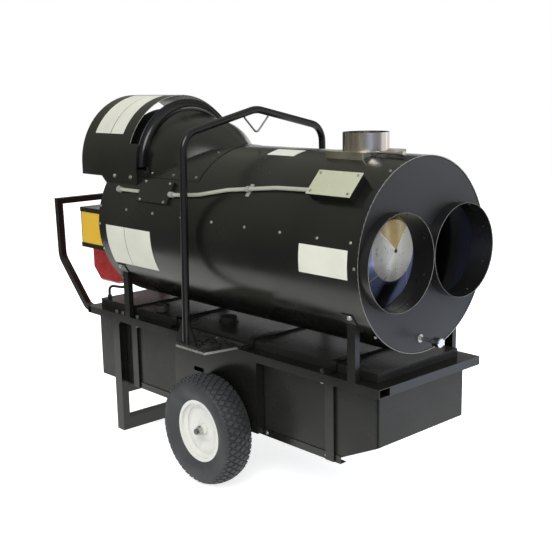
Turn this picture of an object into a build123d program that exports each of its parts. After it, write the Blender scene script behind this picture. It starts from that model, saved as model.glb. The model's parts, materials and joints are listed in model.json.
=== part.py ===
from build123d import *
from math import asin, atan2, cos, degrees, radians, sin, sqrt
import os

os.makedirs("parts", exist_ok=True)

# An indirect-fired diesel heater on a wheeled frame, in millimetres.
# X runs towards the warm-air outlets, Y to the left as seen from the push handle, Z up.
# The ground is Z = 0. A size that ends in _back is measured rearwards from the barrel's front rim.

# Running and seating clearances
seat_gap = 0.3
running_gap = 0.05

# Top of the frame's rails, which carries the rest
rail_top = 486.0

# Warm-air outlets: two collars side by side
outlet_radius = 149.5
outlet_wall = 1.2
outlet_gap = 2.8
outlet_reach = 37.0
outlet_depth = 45.0
outlet_crimp = 0.6
outlet_spacing = 2 * outlet_radius + outlet_gap

# Barrel, just large enough for the collars
outlet_margin = 4.6
barrel_radius = outlet_spacing / 2 + outlet_radius + outlet_margin
barrel_length = 1345.0
barrel_wall = 1.5
barrel_clearance = 59.0
barrel_z = rail_top + barrel_clearance + barrel_radius
plate_wall = 2.0
plate_flange = 25.0
plate_recess = 2.0

# Knob on the front plate
knob_radius = 15.0
knob_length = 28.0
knob_reach = 82.0
stud_radius = 6.0
knob_y = -20.0
knob_z = barrel_z - barrel_radius + 48.0

# Combustion chamber and heat exchanger
chamber_radius = 200.0
chamber_wall = 2.0
chamber_rear_back = barrel_length - 285.0
nose_tip_back = 115.6
nose_ring_back = 128.0
nose_ring_radius = 98.0
nose_base_back = 190.0
drum_radius = 262.0
drum_wall = 1.5
drum_front_back = 165.0
drum_rear_back = barrel_length - 345.0
drum_gap = 15.0
support_width = 40.0
support_wall = 3.0
support_backs = (330.0, 840.0)

# Flue
flue_radius = 74.6
flue_wall = 1.2
flue_crimp = 0.8
flue_back = 242.0
flue_box_length = 160.0
flue_box_width = 206.0
flue_box_top = barrel_z + barrel_radius + 5.0
flue_top = flue_box_top + 57.0
flue_box_wall = 1.5
probe_radius = 4.0
probe_tip_radius = 8.5
probe_tip_length = 38.0
probe_y = -60.0
probe_z = flue_box_top - 0.5
probe_end_back = 36.0

# Intake: duct on the barrel, bell-mouth ring, fan
duct_wall = 1.5
ring_height = barrel_radius - 81.0
ring_z = barrel_z + ring_height
ring_front_back = barrel_length - 205.0
ring_rear_back = ring_front_back + 25.0
ring_throat_radius = 214.0
ring_lip_radius = 241.0
ring_bead_radius = 3.5
opening_half_width = 219.4
opening_half_angle = degrees(asin(opening_half_width / barrel_radius))
opening_front_back = barrel_length - 473.0
saddle_front_back = barrel_length - 542.0
saddle_half_angle = opening_half_angle + 5.0
fan_radius = 198.0
fan_tip_gap = 5.0
fan_depth = 44.0
fan_blades = 6
hub_radius = 52.0
shaft_radius = 9.5
shroud_length = 64.0
motor_radius = 78.0
motor_length = 130.0
motor_gap = 14.0

# Rain hood
hood_radius = ring_lip_radius + 19.0
hood_wall = 1.5
hood_apron_back = ring_rear_back - 23.0
hood_front_back = barrel_length - 148.0
hood_rear_back = barrel_length + 171.0
hood_apron_z = barrel_z + 311.0
hood_rear_edge_z = barrel_z + 183.0
hood_notch_back = barrel_length + 32.0
hood_skirt_z = barrel_z + 156.5

# Burner
burner_z = barrel_z - 110.0
tube_radius = 60.0
tube_wall = 2.5
tube_reach = 30.0
burner_flange_size = 190.0
burner_flange_wall = 10.0
burner_body_length = 98.0
burner_body_width = 232.0
burner_low_z = burner_z - 165.0
burner_high_z = burner_z + 100.0
cover_width = 260.0
cover_low_z = burner_low_z - 12.0
cover_high_z = burner_high_z + 13.0
cover_rear_back = barrel_length + 345.0
cover_wall = 3.0
button_radius = 7.0
button_travel = 4.0
pump_radius = 27.0
pump_length = 42.0

# Control box
box_rear_back = barrel_length + 237.0
box_side_y = -240.0
box_depth = 104.0
box_low_z = barrel_z - 120.0
box_high_z = barrel_z + 43.0
box_wall = 1.5
box_lip = 18.0

# Wheels
wheel_radius = 195.0
wheel_back = 699.0
tyre_width = 114.0
rim_radius = 101.0
rim_flange_radius = 110.0
rim_half_width = 38.0
axle_radius = 10.0
hub_inner = 42.0
hub_outer = 31.0

# Frame
frame_half_width = 248.0
rail_width = 50.8
rail_height = 28.6
rail_wall = 2.5
frame_front_reach = 33.0
frame_rear_back = barrel_length + 211.0
rear_rail_width = 25.0
bolt_radius = 4.0
bolt_y = frame_half_width - 26.0
wheel_y = frame_half_width + 69.5

# Fuel tank
tank_half_width = frame_half_width - 36.0
tank_front_back = 2.0
tank_rear_back = frame_rear_back - 26.0
tank_bottom = 195.0
tank_top = rail_top + 26.5
tank_wall = 2.0
tank_ramp_back = 193.0
tank_ramp_z = 285.0
neck_radius = 21.0
cap_radius = 29.0
cap_height = 22.0
cap_back = 1145.0
cap_y = -165.0
gauge_radius = 31.0
gauge_back = 843.0
gauge_y = -85.0

# Handle, legs, hoop
handle_size = 25.0
handle_wall = 2.0
handle_y = bolt_y
handle_top = 911.0
handle_knee_z = 662.0
handle_rear_back = frame_rear_back + 229.0
leg_width = 45.0
leg_depth = 31.0
leg_back = barrel_length + 8.5
foot_height = 50.0
hoop_radius = 13.0
hoop_wall = 2.5
hoop_back = 762.0
hoop_foot_y = frame_half_width + 97.0
hoop_shoulder_y = barrel_radius + 24.0
hoop_top_z = barrel_z + barrel_radius + 129.0
hoop_shoulder_z = hoop_top_z - 76.0
plate_thickness = 8.0
cradle_width = 33.0
cradle_depth = 20.0
cradle_backs = (78.5, barrel_length - 79.0)
strap_wall = 3.0

front_x = (handle_rear_back + handle_size / 2 - knob_reach) / 2
rear_x = front_x - barrel_length
inner_radius = barrel_radius - barrel_wall
rail_low = rail_top - rail_height
barrel_axis = Axis((0, 0, barrel_z), (1, 0, 0))


def back(distance):
    """X of a place that far behind the barrel's front rim."""
    return front_x - distance


def skin_plane(distance_back, angle, radius=barrel_radius):
    """Plane resting on the barrel, its local Y pointing up round the skin.
    The angle runs from the top towards the right side (-Y)."""
    outward = Vector(0, -sin(radians(angle)), cos(radians(angle)))
    spot = Vector(back(distance_back), 0, barrel_z) + outward * radius
    return Plane(origin=spot, x_dir=(1, 0, 0), z_dir=outward)


def on_skin(distance_back, angle, radius=barrel_radius):
    """Point at that radius from the barrel's axis."""
    return (
        back(distance_back),
        -radius * sin(radians(angle)),
        barrel_z + radius * cos(radians(angle)),
    )


def barrel_core(radius=barrel_radius + seat_gap):
    """Solid cylinder on the barrel's axis, for cutting seats that lie on the skin."""
    return Cylinder(
        radius,
        2 * barrel_length + 800,
        rotation=(0, 90, 0),
        mode=Mode.PRIVATE,
    ).moved(Location((0, 0, barrel_z)))


def block(x_low, x_high, y_low, y_high, z_low, z_high, mode=Mode.ADD):
    """Box between two corners."""
    with Locations((x_low, y_low, z_low)):
        Box(
            x_high - x_low,
            y_high - y_low,
            z_high - z_low,
            align=(Align.MIN, Align.MIN, Align.MIN),
            mode=mode,
        )


def finish(piece, name):
    """Name a finished piece and write it out."""
    piece.part.label = name
    export_step(piece.part, f"parts/{name}.step")


# Barrel

riser_radius = flue_radius - flue_wall - 2.0

with BuildPart() as barrel_shell:
    with BuildSketch(Plane.YZ.offset(rear_x)):
        with Locations((0, barrel_z)):
            Circle(barrel_radius)
            Circle(inner_radius, mode=Mode.SUBTRACT)
    extrude(amount=barrel_length)
    block(
        rear_x - 1,
        back(opening_front_back),
        -opening_half_width,
        opening_half_width,
        barrel_z,
        barrel_z + 2 * barrel_radius,
        mode=Mode.SUBTRACT,
    )
    with BuildSketch(Plane.XY.offset(barrel_z)):
        with Locations((back(flue_back), 0)):
            Circle(riser_radius + 4)
    extrude(amount=2 * barrel_radius, mode=Mode.SUBTRACT)
finish(barrel_shell, "barrel_shell")

# Front plate: a pan set into the barrel, holed for both outlets and the knob's stud
with BuildPart() as front_plate:
    with BuildSketch(Plane.YZ.offset(back(plate_recess))):
        with Locations((0, barrel_z)):
            Circle(inner_radius - seat_gap)
    extrude(amount=-plate_flange)
    fillet(front_plate.edges().group_by(Axis.X)[-1], 3)
    with BuildSketch(Plane.YZ.offset(back(plate_recess + plate_wall))):
        with Locations((0, barrel_z)):
            Circle(inner_radius - seat_gap - plate_wall)
    extrude(amount=-plate_flange, mode=Mode.SUBTRACT)
    with BuildSketch(Plane.YZ.offset(front_x)):
        with Locations(
            (-outlet_spacing / 2, barrel_z),
            (outlet_spacing / 2, barrel_z),
        ):
            Circle(outlet_radius - outlet_crimp + seat_gap)
        with Locations((knob_y, knob_z)):
            Circle(stud_radius + seat_gap)
    extrude(amount=-plate_recess - 2 * plate_wall, mode=Mode.SUBTRACT)
finish(front_plate, "front_plate")

# Rear plate: the same pan turned round, its top cut off level with the barrel's opening
opening_edge_z = barrel_z + barrel_radius * cos(radians(opening_half_angle))

with BuildPart() as rear_plate:
    with BuildSketch(Plane.YZ.offset(rear_x + plate_recess)):
        with Locations((0, barrel_z)):
            Circle(inner_radius - seat_gap)
    extrude(amount=plate_flange)
    fillet(rear_plate.edges().group_by(Axis.X)[0], 3)
    with BuildSketch(Plane.YZ.offset(rear_x + plate_recess + plate_wall)):
        with Locations((0, barrel_z)):
            Circle(inner_radius - seat_gap - plate_wall)
    extrude(amount=plate_flange, mode=Mode.SUBTRACT)
    with BuildSketch(Plane.YZ.offset(rear_x)):
        with Locations((0, burner_z)):
            Circle(tube_radius + seat_gap)
        with Locations((0, opening_edge_z)):
            Rectangle(2 * barrel_radius, barrel_radius, align=(Align.CENTER, Align.MIN))
    extrude(amount=2 * plate_flange, mode=Mode.SUBTRACT)
finish(rear_plate, "rear_plate")

# Outlet collars: short tubes, each crimped behind a shoulder that seats on the front plate
for name, side in (("right_outlet", -1), ("left_outlet", 1)):
    with BuildPart() as outlet:
        for inset, start, end in (
            (outlet_crimp, back(outlet_depth), back(plate_recess) + outlet_wall),
            (0, back(plate_recess), front_x + outlet_reach),
        ):
            with BuildSketch(Plane.YZ.offset(start)):
                with Locations((side * outlet_spacing / 2, barrel_z)):
                    Circle(outlet_radius - inset)
                    Circle(outlet_radius - inset - outlet_wall, mode=Mode.SUBTRACT)
            extrude(amount=end - start)
    finish(outlet, name)

# Knob on the front plate, turning on a stud
stud_length = knob_reach - 6

with BuildPart() as knob_stud:
    with Locations((back(plate_recess + plate_wall) - 6, knob_y, knob_z)):
        Cylinder(
            stud_radius * 1.9,
            6 - seat_gap,
            rotation=(0, 90, 0),
            align=(Align.CENTER, Align.CENTER, Align.MIN),
        )
    with Locations((back(plate_recess + plate_wall) - 1, knob_y, knob_z)):
        Cylinder(
            stud_radius,
            stud_length,
            rotation=(0, 90, 0),
            align=(Align.CENTER, Align.CENTER, Align.MIN),
        )
    with Locations((back(plate_recess), knob_y, knob_z)):
        Cylinder(
            stud_radius * 2.2,
            4,
            rotation=(0, 90, 0),
            align=(Align.CENTER, Align.CENTER, Align.MIN),
        )
finish(knob_stud, "knob_stud")

stud_tip_x = back(plate_recess + plate_wall) - 1 + stud_length

with BuildPart() as front_knob:
    with BuildSketch(Plane.YZ.offset(front_x + knob_reach)):
        with Locations((knob_y, knob_z)):
            Circle(knob_radius)
    extrude(amount=-knob_length)
    chamfer(front_knob.edges().group_by(Axis.X)[-1], 2.5)
    chamfer(front_knob.edges().group_by(Axis.X)[0], 1.5)
    with BuildSketch(Plane.YZ.offset(front_x + knob_reach - knob_length)):
        with Locations((knob_y, knob_z)):
            Circle(stud_radius + running_gap)
    extrude(
        amount=stud_tip_x - (front_x + knob_reach - knob_length) + seat_gap,
        mode=Mode.SUBTRACT,
    )
finish(front_knob, "front_knob")

# Combustion chamber: a long drum closed behind, with the burner's port below its axis
with BuildPart() as combustion_chamber:
    with BuildSketch(Plane.YZ.offset(back(chamber_rear_back))):
        with Locations((0, barrel_z)):
            Circle(chamber_radius)
    extrude(amount=chamber_rear_back - nose_base_back)
    with BuildSketch(Plane.YZ.offset(back(chamber_rear_back - chamber_wall))):
        with Locations((0, barrel_z)):
            Circle(chamber_radius - chamber_wall)
    extrude(amount=chamber_rear_back, mode=Mode.SUBTRACT)
    with BuildSketch(Plane.YZ.offset(back(chamber_rear_back + 1))):
        with Locations((0, burner_z)):
            Circle(tube_radius + seat_gap)
    extrude(amount=4 * chamber_wall, mode=Mode.SUBTRACT)
finish(combustion_chamber, "combustion_chamber")

# Nose of the chamber: a flat cone on a steeper one, seen through the outlets
with BuildPart() as chamber_nose:
    with BuildSketch(Plane.XZ):
        with BuildLine():
            Polyline(
                (back(nose_tip_back), barrel_z),
                (back(nose_ring_back), barrel_z + nose_ring_radius),
                (back(nose_base_back), barrel_z + chamber_radius),
                (back(nose_base_back), barrel_z + chamber_radius - chamber_wall * 2),
                (back(nose_ring_back + chamber_wall), barrel_z + nose_ring_radius - chamber_wall),
                (back(nose_tip_back + chamber_wall), barrel_z),
                close=True,
            )
        make_face()
    revolve(axis=barrel_axis)
finish(chamber_nose, "chamber_nose")

# Heat exchanger: a double-walled drum round the chamber, with the riser to the flue.
# Ribs inside it reach the chamber.
drum_inner = chamber_radius + drum_gap

with BuildPart() as heat_exchanger:
    with BuildSketch(Plane.YZ.offset(back(drum_rear_back))):
        with Locations((0, barrel_z)):
            Circle(drum_radius)
            Circle(drum_inner, mode=Mode.SUBTRACT)
    extrude(amount=drum_rear_back - drum_front_back)
    with BuildSketch(Plane.XY.offset(barrel_z + drum_inner + 2 * drum_wall)):
        with Locations((back(flue_back), 0)):
            Circle(riser_radius)
    extrude(amount=flue_box_top + 6 - barrel_z - drum_inner - 2 * drum_wall)
    with BuildSketch(Plane.YZ.offset(back(drum_rear_back - drum_wall))):
        with Locations((0, barrel_z)):
            Circle(drum_radius - drum_wall)
            Circle(drum_inner + drum_wall, mode=Mode.SUBTRACT)
    extrude(amount=drum_rear_back - drum_front_back - 2 * drum_wall, mode=Mode.SUBTRACT)
    with BuildSketch(Plane.XY.offset(barrel_z + drum_radius - 3 * drum_wall)):
        with Locations((back(flue_back), 0)):
            Circle(riser_radius - drum_wall)
    extrude(amount=drum_radius, mode=Mode.SUBTRACT)
    for rib_back in support_backs:
        with BuildSketch(Plane.YZ.offset(back(rib_back + support_width / 2))):
            with Locations((0, barrel_z)):
                with PolarLocations(chamber_radius + seat_gap, 4, start_angle=45):
                    Rectangle(
                        drum_gap + drum_wall / 2,
                        support_wall,
                        align=(Align.MIN, Align.CENTER),
                    )
        extrude(amount=support_width)
finish(heat_exchanger, "heat_exchanger")

# Brackets that carry the drum in the barrel
with BuildPart() as chamber_supports:
    for rib_back in support_backs:
        with BuildSketch(Plane.YZ.offset(back(rib_back + support_width / 2))):
            with Locations((0, barrel_z)):
                with PolarLocations(drum_radius + seat_gap, 4, start_angle=45):
                    Rectangle(
                        inner_radius - drum_radius - 2 * seat_gap - 0.1,
                        support_wall,
                        align=(Align.MIN, Align.CENTER),
                    )
        extrude(amount=support_width)
finish(chamber_supports, "chamber_supports")

# Flue: a box on the barrel, a stainless collar and a probe with a flared end
with BuildPart() as flue_box:
    block(
        back(flue_back + flue_box_length / 2),
        back(flue_back - flue_box_length / 2),
        -flue_box_width / 2,
        flue_box_width / 2,
        barrel_z + barrel_radius / 2,
        flue_box_top,
    )
    fillet(flue_box.edges().filter_by(Axis.Z), 3)
    block(
        back(flue_back + flue_box_length / 2 - flue_box_wall),
        back(flue_back - flue_box_length / 2 + flue_box_wall),
        -flue_box_width / 2 + flue_box_wall,
        flue_box_width / 2 - flue_box_wall,
        barrel_z,
        flue_box_top - flue_box_wall,
        mode=Mode.SUBTRACT,
    )
    add(barrel_core(), mode=Mode.SUBTRACT)
    with BuildSketch(Plane.XY.offset(flue_box_top)):
        with Locations((back(flue_back), 0)):
            Circle(flue_radius - flue_crimp + seat_gap)
    extrude(amount=-3 * flue_box_wall, mode=Mode.SUBTRACT)
finish(flue_box, "flue_box")

with BuildPart() as flue_collar:
    for inset, low, high in (
        (flue_crimp, barrel_z + barrel_radius + 2 * seat_gap, flue_box_top + flue_wall),
        (0, flue_box_top, flue_top),
    ):
        with BuildSketch(Plane.XY.offset(low)):
            with Locations((back(flue_back), 0)):
                Circle(flue_radius - inset)
                Circle(flue_radius - inset - flue_wall, mode=Mode.SUBTRACT)
        extrude(amount=high - low)
finish(flue_collar, "flue_collar")

probe_start_back = flue_back - flue_box_length / 2

with BuildPart() as flue_probe:
    with BuildSketch(Plane.XZ.offset(-probe_y)):
        with BuildLine():
            Polyline(
                (back(probe_start_back), probe_z),
                (back(probe_end_back), probe_z),
                (back(probe_end_back), probe_z + probe_tip_radius),
                (back(probe_end_back + 3), probe_z + probe_tip_radius),
                (back(probe_end_back + probe_tip_length), probe_z + probe_radius),
                (back(probe_start_back - 4), probe_z + probe_radius),
                (back(probe_start_back - 4), probe_z + 2 * probe_radius),
                (back(probe_start_back), probe_z + 2 * probe_radius),
                close=True,
            )
        make_face()
    revolve(axis=Axis((0, probe_y, probe_z), (1, 0, 0)))
    with BuildSketch(Plane.XY.offset(flue_box_top - seat_gap)):
        with Locations((back(probe_start_back), probe_y)):
            Rectangle(30, 30)
    extrude(amount=20, mode=Mode.SUBTRACT)
finish(flue_probe, "flue_probe")

# Intake duct: a hood-shaped cone that opens into the barrel, welded to a saddle sheet.
# Each section is distance back, height of its centre over the barrel's axis, half width, half height.
duct_sections = (
    (ring_front_back, ring_height - 8.0, ring_throat_radius + 2.0, 212.0),
    (1040.0, 200.0, 221.0, 199.0),
    (961.0, 200.0, 178.0, 179.0),
    (892.0, 200.0, 122.0, 142.0),
    (826.0, 200.0, 74.0, 105.0),
    (780.0, 200.0, 45.0, 78.0),
)

with BuildPart() as duct_core:
    for distance, height, half_width, half_height in duct_sections:
        with BuildSketch(Plane.YZ.offset(back(distance))):
            with Locations((0, barrel_z + height)):
                Ellipse(half_width - duct_wall, half_height - duct_wall)
    loft()

with BuildPart() as intake_transition:
    for distance, height, half_width, half_height in duct_sections:
        with BuildSketch(Plane.YZ.offset(back(distance))):
            with Locations((0, barrel_z + height)):
                Ellipse(half_width, half_height)
    loft()
    with BuildSketch(Plane.YZ.offset(rear_x)):
        with BuildLine():
            saddle_outer = CenterArc(
                (0, barrel_z),
                barrel_radius + seat_gap + duct_wall,
                90 - saddle_half_angle,
                2 * saddle_half_angle,
            )
            saddle_inner = CenterArc(
                (0, barrel_z),
                barrel_radius - duct_wall,
                90 - saddle_half_angle,
                2 * saddle_half_angle,
            )
            Line(saddle_outer @ 0, saddle_inner @ 0)
            Line(saddle_outer @ 1, saddle_inner @ 1)
        make_face()
    extrude(amount=barrel_length - saddle_front_back)
    add(barrel_core(), mode=Mode.SUBTRACT)
    add(duct_core.part, mode=Mode.SUBTRACT)
    block(
        rear_x - 1,
        back(ring_front_back) + 0.01,
        -opening_half_width,
        opening_half_width,
        barrel_z,
        barrel_z + 2 * barrel_radius,
        mode=Mode.SUBTRACT,
    )
finish(intake_transition, "intake_transition")

# Bell-mouth ring over the mouth of the duct, with a rolled bead
ring_axis = Axis((0, 0, ring_z), (1, 0, 0))

with BuildPart() as intake_ring:
    with BuildSketch(Plane.XY.offset(ring_z)):
        with BuildLine():
            throat = (back(ring_front_back + seat_gap), ring_throat_radius)
            lip = (back(ring_rear_back), ring_lip_radius)
            bend = (
                back(ring_front_back + 0.82 * (ring_rear_back - ring_front_back)),
                ring_throat_radius + 0.32 * (ring_lip_radius - ring_throat_radius),
            )
            ThreePointArc(throat, bend, lip)
            outer_lip = (lip[0] + duct_wall, lip[1])
            outer_bend = (bend[0] + duct_wall, bend[1] + duct_wall)
            outer_throat = (throat[0], throat[1] + duct_wall)
            ThreePointArc(outer_throat, outer_bend, outer_lip)
            Line(throat, outer_throat)
            Line(lip, outer_lip)
        make_face()
        with Locations((lip[0] + duct_wall / 2, ring_lip_radius)):
            Circle(ring_bead_radius)
    revolve(axis=ring_axis, revolution_arc=180)
    add(barrel_core(barrel_radius + duct_wall + 2 * seat_gap), mode=Mode.SUBTRACT)
finish(intake_ring, "intake_ring")

# Fan shroud: a bulkhead across the barrel behind the duct, with a short tube round the fan
shroud_radius = fan_radius + fan_tip_gap + duct_wall
shroud_front_back = ring_front_back + 4.0

with BuildPart() as fan_shroud:
    with BuildSketch(Plane.YZ.offset(back(shroud_front_back))):
        with Locations((0, barrel_z)):
            Circle(inner_radius - seat_gap)
        with Locations((0, opening_edge_z)):
            Rectangle(
                2 * barrel_radius,
                2 * barrel_radius,
                align=(Align.CENTER, Align.MIN),
                mode=Mode.SUBTRACT,
            )
        with Locations((0, ring_z)):
            Circle(shroud_radius + 6)
            Circle(shroud_radius - duct_wall, mode=Mode.SUBTRACT)
        with Locations((0, burner_z)):
            Circle(tube_radius + seat_gap, mode=Mode.SUBTRACT)
    extrude(amount=-plate_wall)
    with BuildSketch(Plane.YZ.offset(back(shroud_front_back))):
        with Locations((0, ring_z)):
            Circle(shroud_radius)
            Circle(shroud_radius - duct_wall, mode=Mode.SUBTRACT)
    extrude(amount=-shroud_length)
finish(fan_shroud, "fan_shroud")

# Fan rotor: twisted blades on a hub, with the shaft that runs in the motor
fan_front_back = shroud_front_back + 2
fan_mid_x = back(fan_front_back + fan_depth / 2)
motor_front_back = fan_front_back + fan_depth + motor_gap

with BuildPart() as fan_blade:
    with BuildSketch(Plane.XY.offset(ring_z + hub_radius - 6)):
        with Locations(Location((fan_mid_x, 0, 0), (0, 0, 42))):
            Ellipse(28, 3)
    with BuildSketch(Plane.XY.offset(ring_z + fan_radius * 0.62)):
        with Locations(Location((fan_mid_x, 0, 0), (0, 0, 60))):
            Ellipse(39, 2.6)
    with BuildSketch(Plane.XY.offset(ring_z + fan_radius - 2)):
        with Locations(Location((fan_mid_x, 0, 0), (0, 0, 68))):
            Ellipse(48, 1.8)
    loft()

with BuildPart() as fan_rotor:
    with BuildSketch(Plane.YZ.offset(back(fan_front_back))):
        with Locations((0, ring_z)):
            Circle(hub_radius)
    extrude(amount=-fan_depth)
    fillet(fan_rotor.edges().group_by(Axis.X)[-1], 8)
    for blade in range(fan_blades):
        add(fan_blade.part.rotate(ring_axis, 360 * blade / fan_blades))
    with BuildSketch(Plane.YZ.offset(back(fan_front_back + fan_depth))):
        with Locations((0, ring_z)):
            Circle(shaft_radius)
    extrude(amount=-(motor_gap + 30))
finish(fan_rotor, "fan_rotor")

# Fan motor and the shelf that carries it across the barrel
with BuildPart() as fan_motor:
    with BuildSketch(Plane.YZ.offset(back(motor_front_back))):
        with Locations((0, ring_z)):
            Circle(motor_radius)
    extrude(amount=-motor_length)
    fillet(fan_motor.edges().filter_by(GeomType.CIRCLE), 9)
    with BuildSketch(Plane.YZ.offset(back(motor_front_back + motor_length * 0.2))):
        with Locations((0, ring_z - motor_radius * 0.8)):
            Rectangle(motor_radius * 1.5, motor_radius * 0.4)
    extrude(amount=-motor_length * 0.6)
    with BuildSketch(Plane.YZ.offset(back(motor_front_back - 1))):
        with Locations((0, ring_z)):
            Circle(shaft_radius + running_gap)
    extrude(amount=-34, mode=Mode.SUBTRACT)
    with BuildSketch(Plane.XY.offset(ring_z)):
        with Locations((back(motor_front_back + motor_length * 0.5), 0)):
            Rectangle(62, 54)
    extrude(amount=motor_radius + 22)
finish(fan_motor, "fan_motor")

shelf_top = ring_z - motor_radius
shelf_wall = 4.0

with BuildPart() as motor_shelf:
    with BuildSketch(Plane.YZ.offset(back(motor_front_back + motor_length * 0.8))):
        with Locations((0, shelf_top)):
            Rectangle(2 * barrel_radius, shelf_wall, align=(Align.CENTER, Align.MAX))
        with Locations((-inner_radius + 36, shelf_top), (inner_radius - 36, shelf_top)):
            Rectangle(shelf_wall, 44, align=(Align.CENTER, Align.MAX))
    extrude(amount=motor_length * 0.7)
    add(barrel_core(inner_radius - seat_gap), mode=Mode.INTERSECT)
finish(motor_shelf, "motor_shelf")

# Rain hood: an arch over the fan, cut back above its apron and notched behind the barrel
with BuildPart() as rain_hood:
    with BuildSketch(Plane.YZ.offset(back(hood_rear_back))):
        for radius, mode in ((hood_radius, Mode.ADD), (hood_radius - hood_wall, Mode.SUBTRACT)):
            with BuildLine():
                hood_arch = CenterArc((0, ring_z), radius, 0, 180)
                Polyline(
                    hood_arch @ 1,
                    (-radius, hood_skirt_z),
                    (radius, hood_skirt_z),
                    hood_arch @ 0,
                )
            make_face(mode=mode)
    extrude(amount=hood_rear_back - hood_apron_back)
    block(
        back(hood_front_back),
        back(hood_apron_back) + 1,
        -2 * hood_radius,
        2 * hood_radius,
        hood_apron_z,
        ring_z + 2 * hood_radius,
        mode=Mode.SUBTRACT,
    )
    with BuildSketch(Plane.XZ):
        with BuildLine():
            Polyline(
                (back(hood_rear_back) - 1, hood_rear_edge_z),
                (back(hood_notch_back), hood_rear_edge_z),
                (back(barrel_length), hood_skirt_z - 1),
                (back(hood_rear_back) - 1, hood_skirt_z - 1),
                close=True,
            )
        make_face()
    extrude(amount=2 * hood_radius, both=True, mode=Mode.SUBTRACT)
    add(barrel_core(), mode=Mode.SUBTRACT)
finish(rain_hood, "rain_hood")

# Brackets inside the hood's skirts, and the strap that ties its crown to the ring
skirt_inner = hood_radius - hood_wall - seat_gap
bracket_radius = barrel_radius + seat_gap
bracket_foot_z = barrel_z + sqrt(bracket_radius**2 - skirt_inner**2)

with BuildPart() as hood_brackets:
    for side in (-1, 1):
        with BuildSketch(Plane.YZ.offset(back(barrel_length - 12))):
            with Locations((side * skirt_inner, bracket_foot_z)):
                Rectangle(
                    2,
                    ring_z - bracket_foot_z,
                    align=(Align.MAX if side > 0 else Align.MIN, Align.MIN),
                )
            with Locations((side * (skirt_inner - 9), bracket_foot_z + 6)):
                Rectangle(18, 16)
        extrude(amount=barrel_length - 12 - hood_apron_back - 10)
    add(barrel_core(), mode=Mode.SUBTRACT)
    with BuildSketch(Plane.YZ.offset(back(hood_front_back + 40))):
        with BuildLine():
            strap_outer = CenterArc((0, ring_z), hood_radius - hood_wall - seat_gap, 90, 7)
            strap_inner = CenterArc((0, ring_z), hood_radius - hood_wall - seat_gap - 2, 90, 7)
            Line(strap_outer @ 0, strap_inner @ 0)
            Line(strap_outer @ 1, strap_inner @ 1)
        make_face()
    extrude(amount=hood_front_back + 40 - ring_rear_back - 6)
finish(hood_brackets, "hood_brackets")

# Burner: tube, flange, cast body, red cover, reset button and fuel pump
flange_front_back = barrel_length - plate_recess
body_front_back = flange_front_back + burner_flange_wall
body_rear_back = body_front_back + burner_body_length

with BuildPart() as burner_tube:
    with BuildSketch(Plane.YZ.offset(back(body_front_back))):
        with Locations((0, burner_z)):
            Circle(tube_radius)
            Circle(tube_radius - tube_wall, mode=Mode.SUBTRACT)
    extrude(amount=body_front_back - chamber_rear_back + tube_reach)
finish(burner_tube, "burner_tube")

with BuildPart() as burner_flange:
    with BuildSketch(Plane.YZ.offset(back(flange_front_back))):
        with Locations((0, burner_z)):
            RectangleRounded(burner_flange_size, burner_flange_size, 30)
            Circle(tube_radius + seat_gap, mode=Mode.SUBTRACT)
    extrude(amount=-burner_flange_wall)
finish(burner_flange, "burner_flange")

body_mid_z = (burner_low_z + burner_high_z) / 2

with BuildPart() as burner_body:
    with BuildSketch(Plane.YZ.offset(back(body_front_back))):
        with Locations((0, body_mid_z)):
            RectangleRounded(burner_body_width, burner_high_z - burner_low_z, 38)
    extrude(amount=-burner_body_length)
    fillet(burner_body.edges().group_by(Axis.X)[-1], 10)
    with BuildSketch(Plane.YZ.offset(back(body_front_back + 8))):
        with Locations((0, body_mid_z)):
            RectangleRounded(burner_body_width - 16, burner_high_z - burner_low_z - 16, 30)
    extrude(amount=-burner_body_length + 16, mode=Mode.SUBTRACT)
finish(burner_body, "burner_body")


def cover_outline(inset):
    """Side outline of the burner's cover, its two rear corners cut off."""
    low = cover_low_z + inset
    high = cover_high_z - inset
    rear = back(cover_rear_back - inset)
    front = back(body_rear_back + seat_gap) + (1 if inset else 0)
    cut = 52 - inset * 0.4
    return (
        (front, low + 14),
        (front - 60, low),
        (rear + cut, low),
        (rear, low + cut),
        (rear, high - cut * 0.6),
        (rear + cut * 0.6, high),
        (front, high),
    )


with BuildPart() as burner_cover:
    with BuildSketch(Plane.XZ):
        with BuildLine():
            Polyline(*cover_outline(0), close=True)
        make_face()
    extrude(amount=cover_width / 2, both=True)
    chamfer(burner_cover.faces().sort_by(Axis.Y)[0].edges(), 9)
    chamfer(burner_cover.faces().sort_by(Axis.Y)[-1].edges(), 9)
    with BuildSketch(Plane.XZ):
        with BuildLine():
            Polyline(*cover_outline(cover_wall + 9), close=True)
        make_face()
    extrude(amount=cover_width / 2 - cover_wall, both=True, mode=Mode.SUBTRACT)
    with BuildSketch(Plane.YZ.offset(back(cover_rear_back) - 1)):
        with Locations((70, burner_z + 60)):
            Circle(button_radius + 0.08)
    extrude(amount=40, mode=Mode.SUBTRACT)
finish(burner_cover, "burner_cover")

with BuildPart() as reset_button:
    with BuildSketch(Plane.YZ.offset(back(cover_rear_back + button_travel + 3))):
        with Locations((70, burner_z + 60)):
            Circle(button_radius)
    extrude(amount=24)
    fillet(reset_button.edges().group_by(Axis.X)[0], 1.5)
finish(reset_button, "reset_button")

pump_back = body_front_back + burner_body_length * 0.62
pump_z = burner_low_z + 52

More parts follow.
